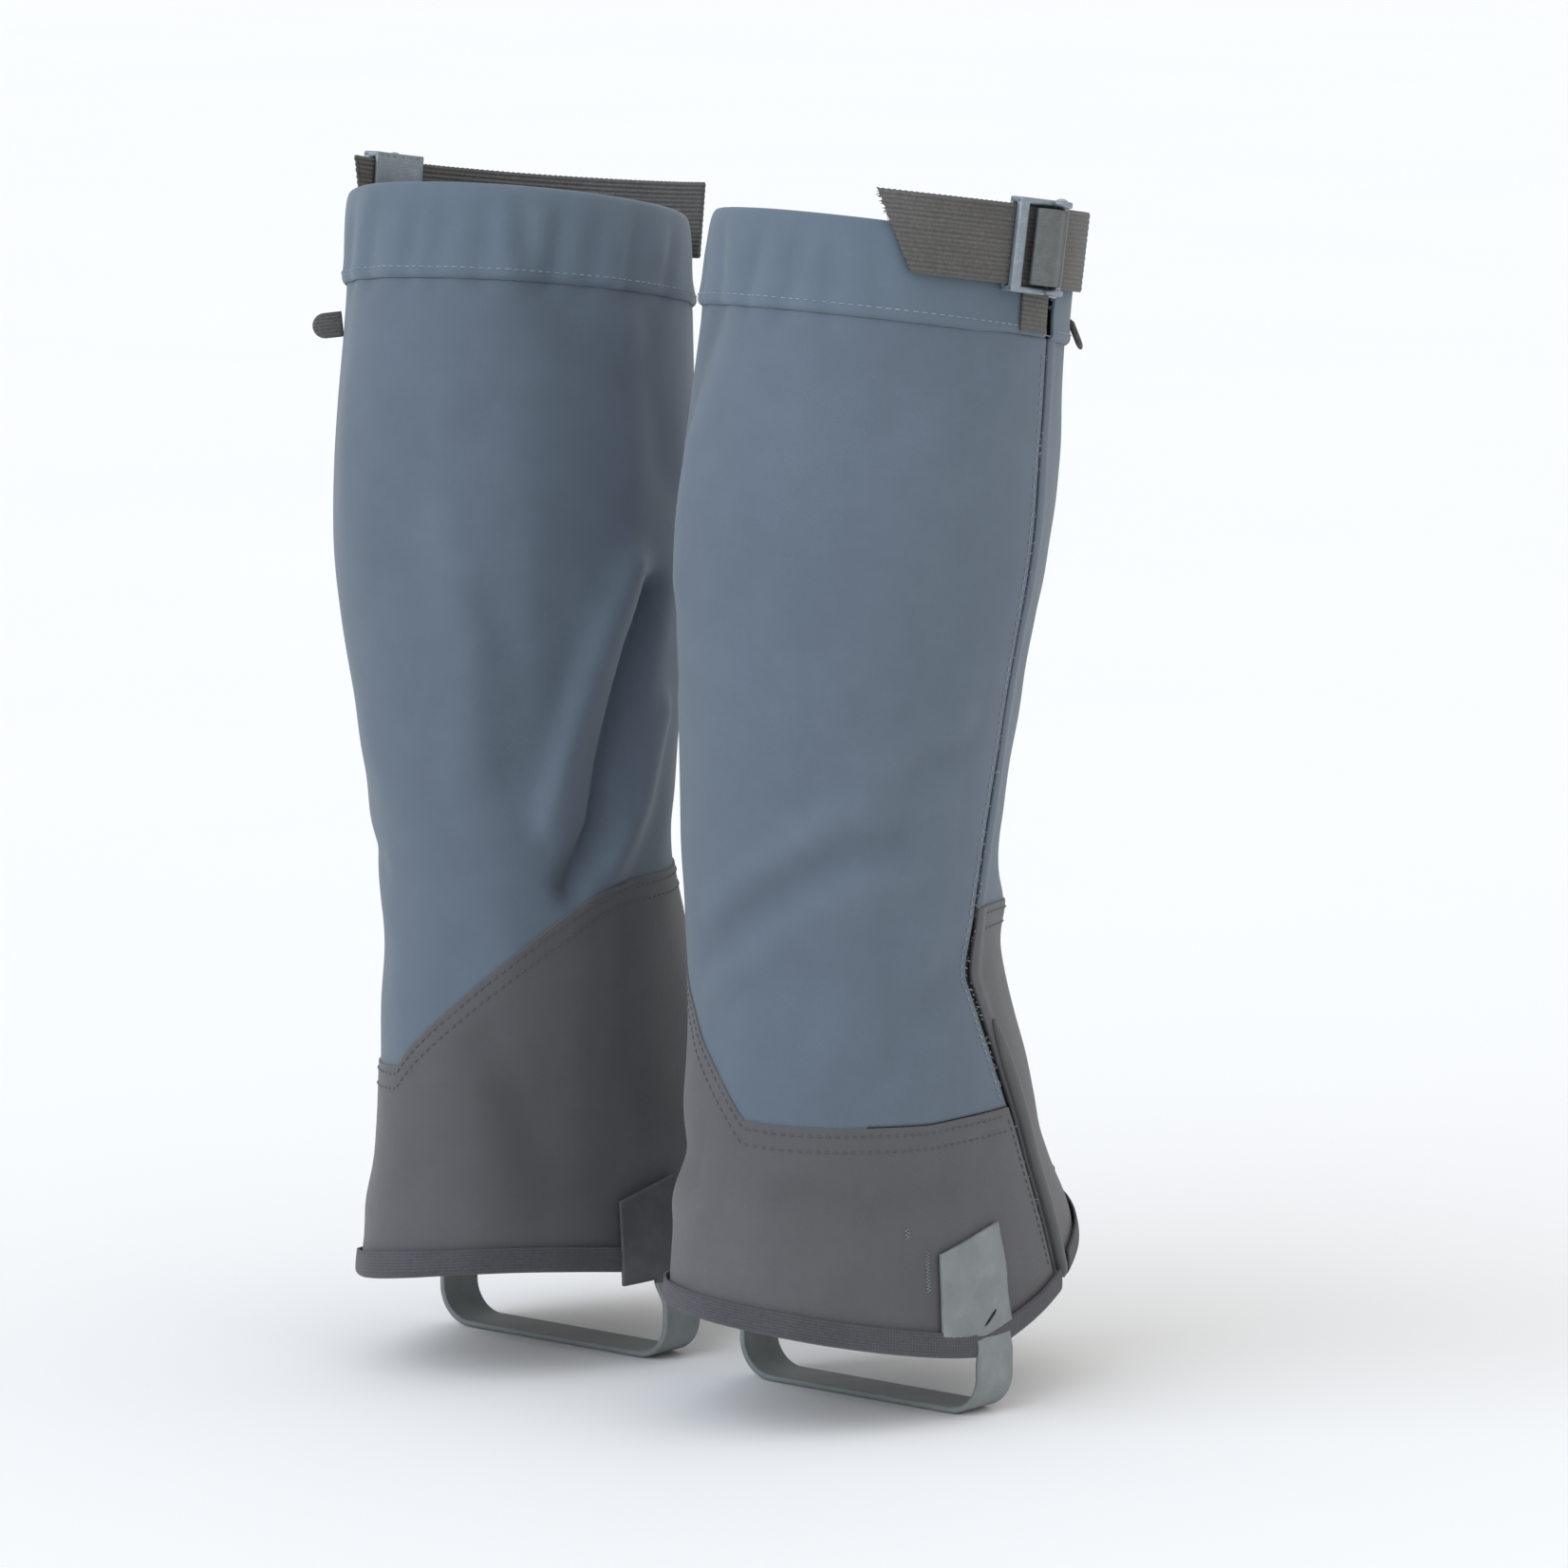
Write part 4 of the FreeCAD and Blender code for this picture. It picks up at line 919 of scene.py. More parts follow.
def make_band(name, side, borders, columns, rows, outer, inner, material, slot, *nodes, body=None):
    """A plain strip of cloth or tape over part of the leg surface."""
    angle, height = patch_grid(borders, spaced(columns, 0.01), spaced(rows, 0.01))
    piece = sheet_mesh(side + "_" + name, side, angle, height, outer, inner, [MATERIALS[material]])
    ride(piece, body or side + "_gaiter", slot, *[side + "_" + n for n in nodes])
    return piece


def make_cuff(side):
    """The folded cuff: one cloth up the outside, over the top and down inside."""
    first, last = closure_line(-1.0), closure_line(CLOSURE_GAP, 1)
    profile = [(0.4, -0.6), (1.5, 0.3), (2.1, 2.0), (1.9, 4.5), (1.7, 9.0), (1.8, 14.0), (1.9, 20.0),
               (1.8, 26.0), (1.4, 30.5), (0.6, 33.4), (-0.8, 34.6), (-2.4, 34.2), (-3.6, 32.0),
               (-4.1, 28.0), (-4.2, 22.0)]
    profile = smooth_line(profile, 3)
    outset = np.array([p[0] for p in profile])
    rise = np.array([p[1] for p in profile])
    across = spaced(170, 0.001)
    heights = CUFF_SEAM + rise
    angle = np.stack([first(heights) * (1 - s) + last(heights) * s for s in across])
    height = np.broadcast_to(heights, angle.shape)
    outer = np.broadcast_to(outset, angle.shape)
    vertices, faces, uv, fold_wear_shade = thick_profile(side, angle, height, outer, CLOTH)
    cuff = make_object(side + "_cuff_cloth", vertices, faces, [MATERIALS["cuff"]], uv, fold_wear_shade)
    ride(cuff, side + "_gaiter", "cuff_cloth", side + "_cuff_outer")
    lining = (closure_line(-2.0), closure_line(CLOSURE_GAP + 1.0, 1),
              level(CUFF_SEAM - 3.0), level(CUFF_TOP - 9.0))
    band = make_band("cuff_lining_cloth", side, lining, 120, 10, -5.1, -6.0, "lining", "lining_cloth",
                     "cuff_lining")
    channel = (fixed(70.0), fixed(-70.0), level(CUFF_SEAM + 6.0), level(CUFF_TOP - 8.0))
    elastic = make_band("cuff_elastic_band", side, channel, 80, 8, -1.2, -2.4, "elastic", "elastic",
                        "cuff_elastic")


def shell_faces(rows, columns):
    """Quads of two facing point grids and of the rim between them."""
    count = rows * columns
    index = np.arange(count).reshape(rows, columns)
    quads = np.stack([index[:-1, :-1].ravel(), index[1:, :-1].ravel(),
                      index[1:, 1:].ravel(), index[:-1, 1:].ravel()], -1)
    faces = [quads, quads[:, ::-1] + count]
    for line in (index[0, ::-1], index[-1, :], index[:, 0], index[::-1, -1]):
        faces.append(np.stack([line[:-1], line[:-1] + count, line[1:] + count, line[1:]], -1))
    return np.concatenate(faces)


def loft_faces(rings, count, turned=False):
    """Faces of a closed loft through rings of count points, with both ends."""
    faces = []
    for i in range(rings - 1):
        for k in range(count):
            j = (k + 1) % count
            faces.append((i * count + k, i * count + j, (i + 1) * count + j, (i + 1) * count + k))
    faces.append(tuple(reversed(range(count))))
    faces.append(tuple((rings - 1) * count + k for k in range(count)))
    return [f[::-1] for f in faces] if turned else faces


def smooth_line(points, parts):
    """More points on a smooth curve through the given ones."""
    points = [np.array(p, float) for p in points]
    result = []
    for i in range(len(points) - 1):
        p0, p1 = points[max(i - 1, 0)], points[i]
        p2, p3 = points[i + 1], points[min(i + 2, len(points) - 1)]
        for k in range(parts):
            t = k / parts
            result.append(0.5 * (2 * p1 + (p2 - p0) * t + (2 * p0 - 5 * p1 + 4 * p2 - p3) * t * t
                                 + (3 * p1 - p0 - 3 * p2 + p3) * t**3))
    result.append(points[-1])
    return result


def thick_profile(side, angle, height, outset, thick):
    """A closed mesh round a swept open profile, offset inward by thick."""
    slope_o = np.gradient(outset, axis=1)
    slope_h = np.gradient(height, axis=1)
    size = np.hypot(slope_o, slope_h)
    inner_out = outset - thick * slope_h / size
    inner_high = height + thick * slope_o / size
    rows, columns = angle.shape
    outside = cloth_point(side, angle, height, outset).reshape(-1, 3)
    inside = cloth_point(side, angle, inner_high, inner_out).reshape(-1, 3)
    faces = shell_faces(rows, columns)
    if side == "right":
        faces = faces[:, ::-1]
    run = np.concatenate([np.zeros((rows, 1)), np.cumsum(np.hypot(np.diff(outset, axis=1),
                                                                  np.diff(height, axis=1)), axis=1)], 1)
    uv = np.stack([np.radians(angle) * 64.0 * MM, run * MM], -1).reshape(-1, 2)
    fold_wear_shade = from_grid(FOLD_WEAR_SHADE[side], angle, height).ravel()
    return (np.concatenate([outside, inside]), faces, np.concatenate([uv, uv]),
            np.concatenate([fold_wear_shade, fold_wear_shade]))


def make_closure(side):
    """The layers behind the flaps: underlap, loop tape and two hook tapes."""
    low, high = hem_line(6.0), level(CUFF_SEAM - 3.0)
    placket = (closure_line(14.0), closure_line(-24.0), low, high)
    strip = make_band("placket_cloth", side, placket, 20, 90, -1.7, -2.8, "lining", "lining_cloth", "placket")
    loop = (closure_line(4.6), closure_line(-17.0), hem_line(14.0), level(CUFF_SEAM + 26.0))
    tape = make_band("loop_tape_strip", side, loop, 12, 90, -0.75, -1.6, "loops", "loop_tape", "loop_tape")
    hooks = (("upper_flap", "upper_hook_tape", level(GUARD_SIDE + 8.0), level(CUFF_SEAM - 10.0), 0.30),
             ("lower_flap", "lower_hook_tape", hem_line(16.0), level(GUARD_SIDE - 6.0), 0.08))
    for flap, node, bottom, top, length in hooks:
        hook = (closure_line(-2.0), closure_line(-20.0), bottom, top)
        strip = make_band(node + "_strip", side, hook, 10, 40, 0.3, -0.45, "hooks", "hook_tape", node,
                          body=side + "_" + flap)


def make_hem(side):
    """Folded tape that wraps the guard's lower edge, and its flap's own part."""
    profile = smooth_line([(-2.2, 7.0), (-2.4, 2.0), (-1.9, -0.6), (0.1, -1.6), (1.9, -0.6), (2.3, 2.0),
                           (2.15, 7.6)], 3)
    outset = np.array([p[0] for p in profile])[::-1]
    rise = np.array([p[1] for p in profile])[::-1]
    behind = lower_fold_line(-FOLD_REACH)
    parts = (("hem_tape", behind, closure_line(14.5, 1), 190),
             ("flap_hem_tape", closure_line(-0.3), behind, 40))
    for name, first, last, count in parts:
        angle, height = patch_grid((first, last, hem_line(), hem_line(1.0)), spaced(count, 0.001),
                                   np.array([0.0, 1.0]))
        angle = np.repeat(angle[:, :1], len(profile), axis=1)
        height = height[:, :1] + rise[None, :]
        outer = outset[None, :] + panel_lift(angle, height)
        vertices, faces, uv, fold_wear_shade = thick_profile(side, angle, height, outer, 0.9)
        hem = make_object(side + "_" + name, vertices, [tuple(reversed(f)) for f in faces],
                          [MATERIALS["binding"]], uv, fold_wear_shade)
        if name == "hem_tape":
            ride(hem, side + "_gaiter", "binding", side + "_hem_binding")
        else:
            bend(hem, side, "lower_flap", "binding")


# ------------------------------------------------- webbing, buckle and lever

def cuff_axes():
    """Centre of the webbing's ring and its rotation, for the right side, in mm."""
    def middle(height):
        return np.array([-CUFF_LEAN * float(lean_share(height)), -float(leg("centre", height)), height])
    low, high = middle(CUFF_SEAM), middle(CUFF_TOP)
    climb = (high - low) / np.linalg.norm(high - low)
    tilt = math.radians(CUFF_TILT)
    axis = climb + np.array([0.0, -math.sin(tilt), math.cos(tilt)])
    axis /= np.linalg.norm(axis)
    centre = 0.5 * (low + high) + np.array([WEB_INSET, 0.0, 0.0]) + axis * WEB_RISE
    turn = Vector((0.0, 0.0, 1.0)).rotation_difference(Vector(axis)).to_matrix()
    return centre, np.array(turn)


RING_CENTRE, RING_TURN = cuff_axes()


def ring_point(side, radius, angle, height):
    """A point by radius, outer-side angle and height on the webbing's ring."""
    turn = np.radians(np.asarray(angle, float))
    local = np.stack(np.broadcast_arrays(-radius * np.sin(turn), radius * np.cos(turn), height), -1)
    return mirror(side, RING_CENTRE + local @ RING_TURN.T)


def pin_point(side, x, y, z):
    """A point by the cam pin's own axes: x outward, y forward, z along it."""
    turn = math.radians(90.0 + BUCKLE_ANGLE + PIN_LEAD)
    reach = WEB_RADIUS + PIN_OUT
    local = np.array([math.cos(turn) * (reach + x) - math.sin(turn) * y,
                      math.sin(turn) * (reach + x) + math.cos(turn) * y, z])
    return mirror(side, RING_CENTRE + RING_TURN @ local)


def solid_grid(name, side, outside, inside, materials, uv=None):
    """A closed thick sheet from two point grids of the same shape."""
    rows, columns = outside.shape[:2]
    faces = shell_faces(rows, columns)
    if side == "left":
        faces = faces[:, ::-1]
    if uv is not None:
        uv = np.concatenate([uv.reshape(-1, 2)] * 2)
    points = np.concatenate([outside.reshape(-1, 3), inside.reshape(-1, 3)])
    return make_object(name, points, faces, materials, uv)


def make_webbing(side):
    """Ribbed webbing: corded faces, scalloped edges and a frayed slant end."""
    rng = random.Random(41 if side == "right" else 42)
    slack = LEFT_WEB_SLACK if side == "left" else 0.0
    columns, rows, half = 260, 72, 0.5 * WEB_HEIGHT
    z = np.linspace(-half, half, rows)
    cut = WEB_CUT * (half - z) / WEB_HEIGHT
    fray = np.array([rng.uniform(-0.45, 0.45) for _ in z])
    first = WEB_TAIL + slack + np.degrees((cut + fray) / WEB_RADIUS)
    share = np.concatenate([[0.0, 0.0015], np.linspace(0.005, 1.0, columns - 2)])
    angle = first[None, :] * (1 - share[:, None]) + (WEB_FRONT + slack) * share[:, None]
    high = np.broadcast_to(z, angle.shape).copy()
    arc = np.radians(angle) * WEB_RADIUS
    scallop = 0.16 * np.sin(arc * TAU / 2.1)
    high[:, 0] -= scallop[:, 0]
    high[:, -1] += scallop[:, -1]
    near_buckle = np.exp(-((angle - 66.0 - slack) / 17.0) ** 2)
    cords = (0.10 + 0.16 * near_buckle) * np.cos(high * TAU / 2.3)
    edge = np.clip((half - np.abs(high)) / 0.8, 0.0, 1.0)
    body = 0.5 * WEB_THICK * (0.55 + 0.45 * np.sqrt(edge))
    clear = np.clip((np.abs(angle - BUCKLE_ANGLE) - 27.0) / 12.0, 0.0, 1.0)
    middle = WEB_RADIUS + 0.5 * WEB_THICK - 0.35 * clear * np.sin(np.radians(angle) * 5.0)
    outside = ring_point(side, middle + body + cords * edge, angle, high)
    inside = ring_point(side, middle - body + cords * edge * 0.4, angle, high)
    uv = np.stack([arc * MM, high * MM], -1)
    strap = solid_grid(side + "_cuff_webbing", side, outside, inside, [MATERIALS["webbing"]], uv)
    ride(strap, side + "_cuff_strap", "webbing", side + "_cuff_strap")
    lines = []
    for _ in range(46):
        at = rng.uniform(-half + 0.4, half - 0.4)
        start = WEB_TAIL + slack + math.degrees(WEB_CUT * (half - at) / WEB_HEIGHT / WEB_RADIUS)
        reach, drift = rng.uniform(0.5, 1.7), rng.uniform(-0.6, 0.6)
        radius = WEB_RADIUS + rng.uniform(0.3, 1.4)
        line = []
        for t in (0.0, 0.4, 0.75, 1.0):
            back = start + 0.3 - math.degrees(reach * t / WEB_RADIUS)
            line.append(ring_point(side, radius + 0.3 * t * drift, back, at + drift * t * t))
        lines.append(line)
    ends = tube_mesh(side + "_webbing_frayed_ends", lines, 0.14 * MM, MATERIALS["dark_thread"], 5)
    ride(ends, side + "_cuff_strap", "webbing")


def ring_block(side, r0, r1, a0, a1, z0, z1, bevel=0.5):
    """Points and faces of a curved bar with rounded edges, by ring ranges."""
    def stops(low, high, parts):
        b = min(bevel, 0.45 * (high - low))
        return np.concatenate([[low], np.linspace(low + b, high - b, parts), [high]])
    degrees_mm = math.radians(1.0) * WEB_RADIUS
    radii, arcs = stops(r0, r1, 2), stops(a0 * degrees_mm, a1 * degrees_mm, 8)
    highs = stops(z0, z1, 4)
    points, faces, seen = [], [], {}

    def corner(i, j, k):
        key = (i, j, k)
        if key in seen:
            return seen[key]
        p = np.array([radii[i], arcs[j], highs[k]])
        low = np.array([r0, a0 * degrees_mm, z0])
        high = np.array([r1, a1 * degrees_mm, z1])
        b = np.minimum(bevel, 0.45 * (high - low))
        core = np.clip(p, low + b, high - b)
        off = (p - core) / b
        size = np.linalg.norm(off)
        if size > 1.0:
            p = core + off / size * b
        seen[key] = len(points)
        points.append(ring_point(side, p[0], p[1] / degrees_mm, p[2]))
        return seen[key]

    sizes = (len(radii) - 1, len(arcs) - 1, len(highs) - 1)
    for axis, turned in ((0, False), (1, True), (2, False)):
        u, v = [n for n in range(3) if n != axis]
        for end, flip in ((0, turned), (sizes[axis], not turned)):
            for m in range(sizes[u]):
                for n in range(sizes[v]):
                    quad = []
                    for du, dv in ((0, 0), (1, 0), (1, 1), (0, 1)):
                        spot = [end, end, end]
                        spot[u], spot[v] = m + du, n + dv
                        quad.append(corner(*spot))
                    faces.append(quad[::-1] if flip else quad)
    return points, faces


def merged(name, blocks, materials):
    """One object from several blocks of points and faces."""
    points, faces = [], []
    for block_points, block_faces in blocks:
        base = len(points)
        points += list(block_points)
        faces += [tuple(base + i for i in f) for f in block_faces]
    return make_object(name, points, faces, materials)


def disc_stack(side, rings, sides=28):
    """A turned shape on the pin's axis, from (height, radius) rings."""
    points = []
    for z, radius in rings:
        for k in range(sides):
            turn = TAU * k / sides
            points.append(pin_point(side, radius * math.cos(turn), radius * math.sin(turn), z))
    return points, loft_faces(len(rings), sides)


def make_buckle(side):
    """Frame of rounded bars with ears, and its riveted pin."""
    half, wall, fit = 0.5 * WEB_HEIGHT, 2.4, 0.4
    a0 = BUCKLE_ANGLE - 0.5 * BUCKLE_SWEEP
    a1 = a0 + BUCKLE_SWEEP
    base, top, arm = WEB_RADIUS - 1.9, WEB_RADIUS + 5.0, half + fit
    end, over = arm + wall, WEB_RADIUS + WEB_THICK + fit
    bars = ((base, WEB_RADIUS - fit, a0, a1, 0.5),
            (over, top, a0, a0 + 3.4, 0.8),
            (over, top - 1.2, a1 - 3.0, a1, 0.8))
    blocks = [ring_block(side, r0, r1, b0, b1, -end, end, bevel) for r0, r1, b0, b1, bevel in bars]
    for low, high in ((-end, -arm), (arm, end)):
        blocks.append(ring_block(side, base, top, a0, a1, low, high, 0.7))
        ear = 0.5 * wall
        centre = 0.5 * (low + high)
        rings = [(centre - ear, 3.2), (centre - ear + 0.5, 3.9),
                 (centre + ear - 0.5, 3.9), (centre + ear, 3.2)]
        blocks.append(disc_stack(side, rings))
    frame_piece = merged(side + "_buckle_frame_bars", blocks, [MATERIALS["frame"]])
    ride(frame_piece, side + "_gaiter", "buckle_metal", side + "_buckle_frame")
    rings = [(-end - 0.9, 0.7), (-end - 0.6, 1.7), (-end, 2.2), (-end + 0.2, PIN_RADIUS)]
    rings += [(-z, r) for z, r in reversed(rings)]
    pin = merged(side + "_cam_pin_riveted", [disc_stack(side, rings)], [MATERIALS["pin"]])
    ride(pin, side + "_gaiter", "pin_steel", side + "_cam_pin")


def make_lever(side):
    """The thumb lever: one bowed section with two grooves, rounded at its ends."""
    outline = smooth_line([(3.0, 0.6), (3.2, -0.5), (3.75, -1.9), (3.95, -2.4), (4.05, -3.2), (4.45, -5.4),
                           (4.25, -7.6), (3.3, -10.0), (1.7, -12.0), (0.3, -13.0), (-0.8, -13.3),
                           (-1.7, -12.9), (-1.9, -12.1), (-0.6, -10.2), (0.9, -7.4), (1.35, -5.0),
                           (0.7, -3.0), (-1.7, -2.8), (-3.2, -1.4), (-3.75, 0.0), (-3.0, 1.7),
                           (-1.6, 2.9), (0.0, 3.2), (1.6, 2.8), (2.6, 1.9)], 3)
    outline = [np.array(p) for p in outline]
    grooves = (-2.1, -0.3)
    length = 0.5 * WEB_HEIGHT - 0.6
    layers = [(-length, 0.55), (-length + 0.15, 0.28), (-length + 0.5, 0.0), (-length + 3.0, 0.0), (0.0, 0.0),
              (length - 3.0, 0.0), (length - 0.5, 0.0), (length - 0.15, 0.28), (length, 0.55)]
    middle = np.mean(outline, axis=0)
    points = []
    for z, shrink in layers:
        for p in outline:
            notch = sum(0.45 * math.exp(-((p[1] - g) / 0.35) ** 2) for g in grooves) if p[0] > 2.5 else 0.0
            inward = (middle - p) / np.linalg.norm(middle - p)
            q = p + inward * shrink - np.array([notch, 0.0])
            points.append(pin_point(side, q[0], q[1], z))
    faces = loft_faces(len(layers), len(outline), turned=True)
    lever = make_object(side + "_cam_lever_thumb", points, faces, [MATERIALS["lever"]])
    ride(lever, side + "_cam_lever", "lever_metal", side + "_cam_lever")


def make_anchor(side):
    """The short web that ties the buckle to the cuff."""
    anchor = (closure_line(-20.0), closure_line(-3.5), level(CUFF_SEAM + 1.5), level(CUFF_SEAM + 24.0))
    make_band("buckle_anchor_web", side, anchor, 12, 12, 3.2, 2.3, "webbing", "webbing", "buckle_loop")


def outward_faces(item):
    """Turn a closed mesh's faces so that they point outward."""
    mesh = item.data
    volume = 0.0
    for polygon in mesh.polygons:
        corners = [mesh.vertices[i].co for i in polygon.vertices]
        for b, c in zip(corners[1:], corners[2:]):
            volume += corners[0].dot(b.cross(c))
    if volume < 0:
        mesh.flip_normals()


# ------------------------------------------------------- patches and strap

def make_strap(side):
    """One rubber piece: patch, strap under the arch, and the inner patch in darker rubber as painted shade.
    """
    across = spaced(20, 0.03)
    half = 0.5 * STRAP_WIDTH
    radius = STRAP_CORNER + STRAP_THICK
    down, bend_run, flat = NECK_TOP - STRAP_CORNER, 0.5 * math.pi * radius, STRAP_HALF - radius

    def strap_line(share):
        """Down the leg of the U, round its corner and to the middle."""
        run = share * (down + bend_run + flat)
        if run < down:
            return (-STRAP_HALF, NECK_TOP - run), (1.0, 0.0)
        if run < down + bend_run:
            turn = (run - down) / radius
            return ((-STRAP_HALF + radius - radius * math.cos(turn), STRAP_CORNER - radius * math.sin(turn)),
                    (math.cos(turn), math.sin(turn)))
        return (-STRAP_HALF + radius + run - down - bend_run, -STRAP_THICK), (0.0, 1.0)

    def patch_row(t, outset, flip):
        """Points across a patch: t is 0 at its top, 1 at its foot, over 1 at the neck."""
        front = PATCH_FRONT + PATCH_FLARE * min(t, 1.0)
        points = []
        for v in across:
            top = PATCH_TOP - PATCH_DROP * (1 - v)
            forward = PATCH_REAR * (1 - v) + front * v
            if t > 1.0:
                forward = np.clip(forward, -half, half)
            height = top + (PATCH_LOW - top) * min(t, 1.0)
            angle = float(angle_at(forward, height))
            points.append((-angle if flip else angle, height))
        a, h = np.array(points).T
        return cloth_point(side, a, h, outset + panel_lift(a, h))

    def strap_row(share, depth, flip):
        """Points across the strap, depth mm in from its outer face."""
        (x, z), (nx, nz) = strap_line(share)
        points = []
        for v in across:
            forward = -half + 2.0 * half * v
            px = x + nx * depth
            points.append((-px if flip else px, -forward, z + nz * depth))
        return mirror(side, np.array(points))

    strips = []
    for flip in (False, True):
        outer_side, inner_side = [], []
        for t in list(np.linspace(0.0, 1.0, 26)) + [1.0001]:
            outer_side.append(patch_row(t, PATCH_OUTSETS[flip][0], flip))
            inner_side.append(patch_row(t, PATCH_OUTSETS[flip][1], flip))
        last_out, last_in = outer_side[-1], inner_side[-1]
        for share in np.linspace(0.0, 1.0, 60):
            blend = min(1.0, share / STRAP_NECK)
            blend = blend * blend * (3 - 2 * blend)
            drop = np.array([0.0, 0.0, share * NECK_RUN * MM])
            proud = NECK_SWELL * math.sin(math.pi * blend)
            for line, last, depth in ((outer_side, last_out, 0.0), (inner_side, last_in, STRAP_THICK)):
                row = strap_row(share, depth - proud, flip)
                line.append((last - drop) * (1 - blend) + row * blend)
        strips.append((outer_side, inner_side))
    outside = np.array(strips[0][0] + strips[1][0][-2::-1])
    inside = np.array(strips[0][1] + strips[1][1][-2::-1])
    piece = solid_grid(side + "_instep_patch_and_strap", side, outside, inside,
                       [MATERIALS["rubber"], MATERIALS["shaded_rubber"]])
    outward_faces(piece)
    # Inner patch faces above the strap take the darker rubber as painted shade.
    inward, axis = (1.0, 0.0) if side == "right" else (-1.0, SPACING * MM)
    for polygon in piece.data.polygons:
        if (polygon.center.x - axis) * inward > SHADED_PATCH_FROM and polygon.center.z > SHADED_PATCH_ABOVE:
            polygon.material_index = 1
    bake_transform(piece)
    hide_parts(side + "_outer_patch", side + "_inner_patch", side + "_instep_strap")

    trims = [[patch_row(t, 2.4, flip)[-1] for t in np.linspace(0.02, 0.98, 16)] for flip in (False, True)]
    trim = tube_mesh(side + "_patch_edge_cord", trims, 0.75 * MM, MATERIALS["binding"], 8)
    ride(trim, side + "_gaiter", "binding")
    # A dark cord drawn along the patch slit: painted shade of the cut.
    slit = [patch_row(t, 3.15, False)[column] for t, column in zip(np.linspace(0.93, 0.80, 5), range(12, 17))]
    slit_shade = tube_mesh(side + "_patch_slit_shade", [slit], 0.55 * MM, MATERIALS["hooks"], 6)
    ride(slit_shade, side + "_gaiter", "patch_rubber")


# ------------------------------------------------------------- small pieces

def make_pull_tab(side):
    """A folded tongue of webbing, crowned and round at its tip."""
    angle, height, droop = PAIR_TABS[side]
    roll = 90.0 if side == "right" else 0.0
    root = leg_point(angle, height, 2.0)
    out = leg_point(angle, height, 10.0) - root
    out /= np.linalg.norm(out)
    up = leg_point(angle, height + 5.0, 2.0) - root
    up -= out * (up @ out)
    up /= np.linalg.norm(up)
    axes = np.array([out, np.cross(up, out), up]).T
    hang, twist = math.radians(droop), math.radians(roll)
    droop_turn = np.array([[math.cos(hang), 0, math.sin(hang)],
                           [0, 1, 0],
                           [-math.sin(hang), 0, math.cos(hang)]])
    roll_turn = np.array([[1, 0, 0],
                          [0, math.cos(twist), -math.sin(twist)],
                          [0, math.sin(twist), math.cos(twist)]])
    frame_turn = axes @ droop_turn @ roll_turn
    width, length, thick = 10.0, 11.0, 2.2
    outline = [(-1.0, -0.5 * width)]
    for k in range(13):
        t = -0.5 * math.pi + math.pi * k / 12
        outline.append((length - 0.5 * width + 0.5 * width * math.cos(t), 0.5 * width * math.sin(t)))
    outline.append((-1.0, 0.5 * width))
    layers = ((-0.5, 0.80), (-0.36, 0.93), (-0.12, 1.0), (0.12, 1.0), (0.36, 0.93), (0.5, 0.80))
    move = from_grid(DRAPE[side], angle, height)
    points = []
    for depth, scale in layers:
        for x, z in outline:
            cx = (x - 4.0) * scale + 4.0
            local = np.array([cx, depth * thick, z * scale])
            points.append(mirror(side, root + move + frame_turn @ local))
    faces = loft_faces(len(layers), len(outline))
    uv = [(x * MM, z * MM) for _ in layers for x, z in outline]
    tab = make_object(side + "_pull_tab_webbing", points, faces, [MATERIALS["webbing"]], uv)
    outward_faces(tab)
    ride(tab, side + "_gaiter", "webbing", side + "_pull_tab")


def make_hook_tab(side):
    """The soft tab that holds the lace hook, and the hook's own metal."""
    low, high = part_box(side + "_lace_hook_tab")
    points = []
    inset = ((0.0, 0.0006), (0.22, 0.0), (0.78, 0.0), (1.0, 0.0006))
    around, power = 48, 0.35
    for share, shrink in inset:
        for k in range(around):
            t = TAU * k / around
            wide, tall = 0.5 * (high[0] - low[0]) - shrink, 0.5 * (high[2] - low[2]) - shrink
            x = wide * math.copysign(abs(math.cos(t)) ** power, math.cos(t))
            z = tall * math.copysign(abs(math.sin(t)) ** power, math.sin(t))
            points.append(Vector((0.5 * (low[0] + high[0]) + x, low[1] + (high[1] - low[1]) * share,
                                  0.5 * (low[2] + high[2]) + z)))
    faces = loft_faces(len(inset), around)
    uv = [(p[0], p[2]) for p in points]
    tab = make_object(side + "_hook_tab_webbing", points, faces, [MATERIALS["webbing"]], uv)
    outward_faces(tab)
    ride(tab, side + "_gaiter", "webbing", side + "_lace_hook_tab")
    hook = bpy.data.objects[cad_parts[side + "_lace_hook"].name]
    hook.data.materials.clear()
    hook.data.materials.append(MATERIALS["hook"])


def stitch_row(name, side, path, outset, material="thread", length=2.5, pitch=3.5, radius=0.24):
    """Stitches along a path of (angle, height), each a small raised dash."""
    angles, heights = np.array(path).T
    spots = cloth_point(side, angles, heights, outset(angles, heights))
    run = np.concatenate([[0.0], np.cumsum(np.linalg.norm(np.diff(spots, axis=0), axis=1))]) / MM
    lines = []
    for k in range(int(run[-1] / pitch)):
        at = k * pitch + 0.5 * (pitch - length)
        steps = at + length * np.array([0.0, 0.25, 0.5, 0.75, 1.0])
        a, h = np.interp(steps, run, angles), np.interp(steps, run, heights)
        rise = np.array([-0.25, 0.12, 0.2, 0.12, -0.25])
        lines.append(cloth_point(side, a, h, outset(a, h) + rise))
    return tube_mesh(side + "_" + name, lines, radius * MM, MATERIALS[material], 6)


def path_along(line, first, last, count=160):
    """A level path between two side lines, as (angle, height) points."""
    angle, height = patch_grid((first, last, line, line), np.linspace(0.0, 1.0, count), np.array([0.0, 1.0]))
    return list(zip(angle[:, 0], height[:, 0]))


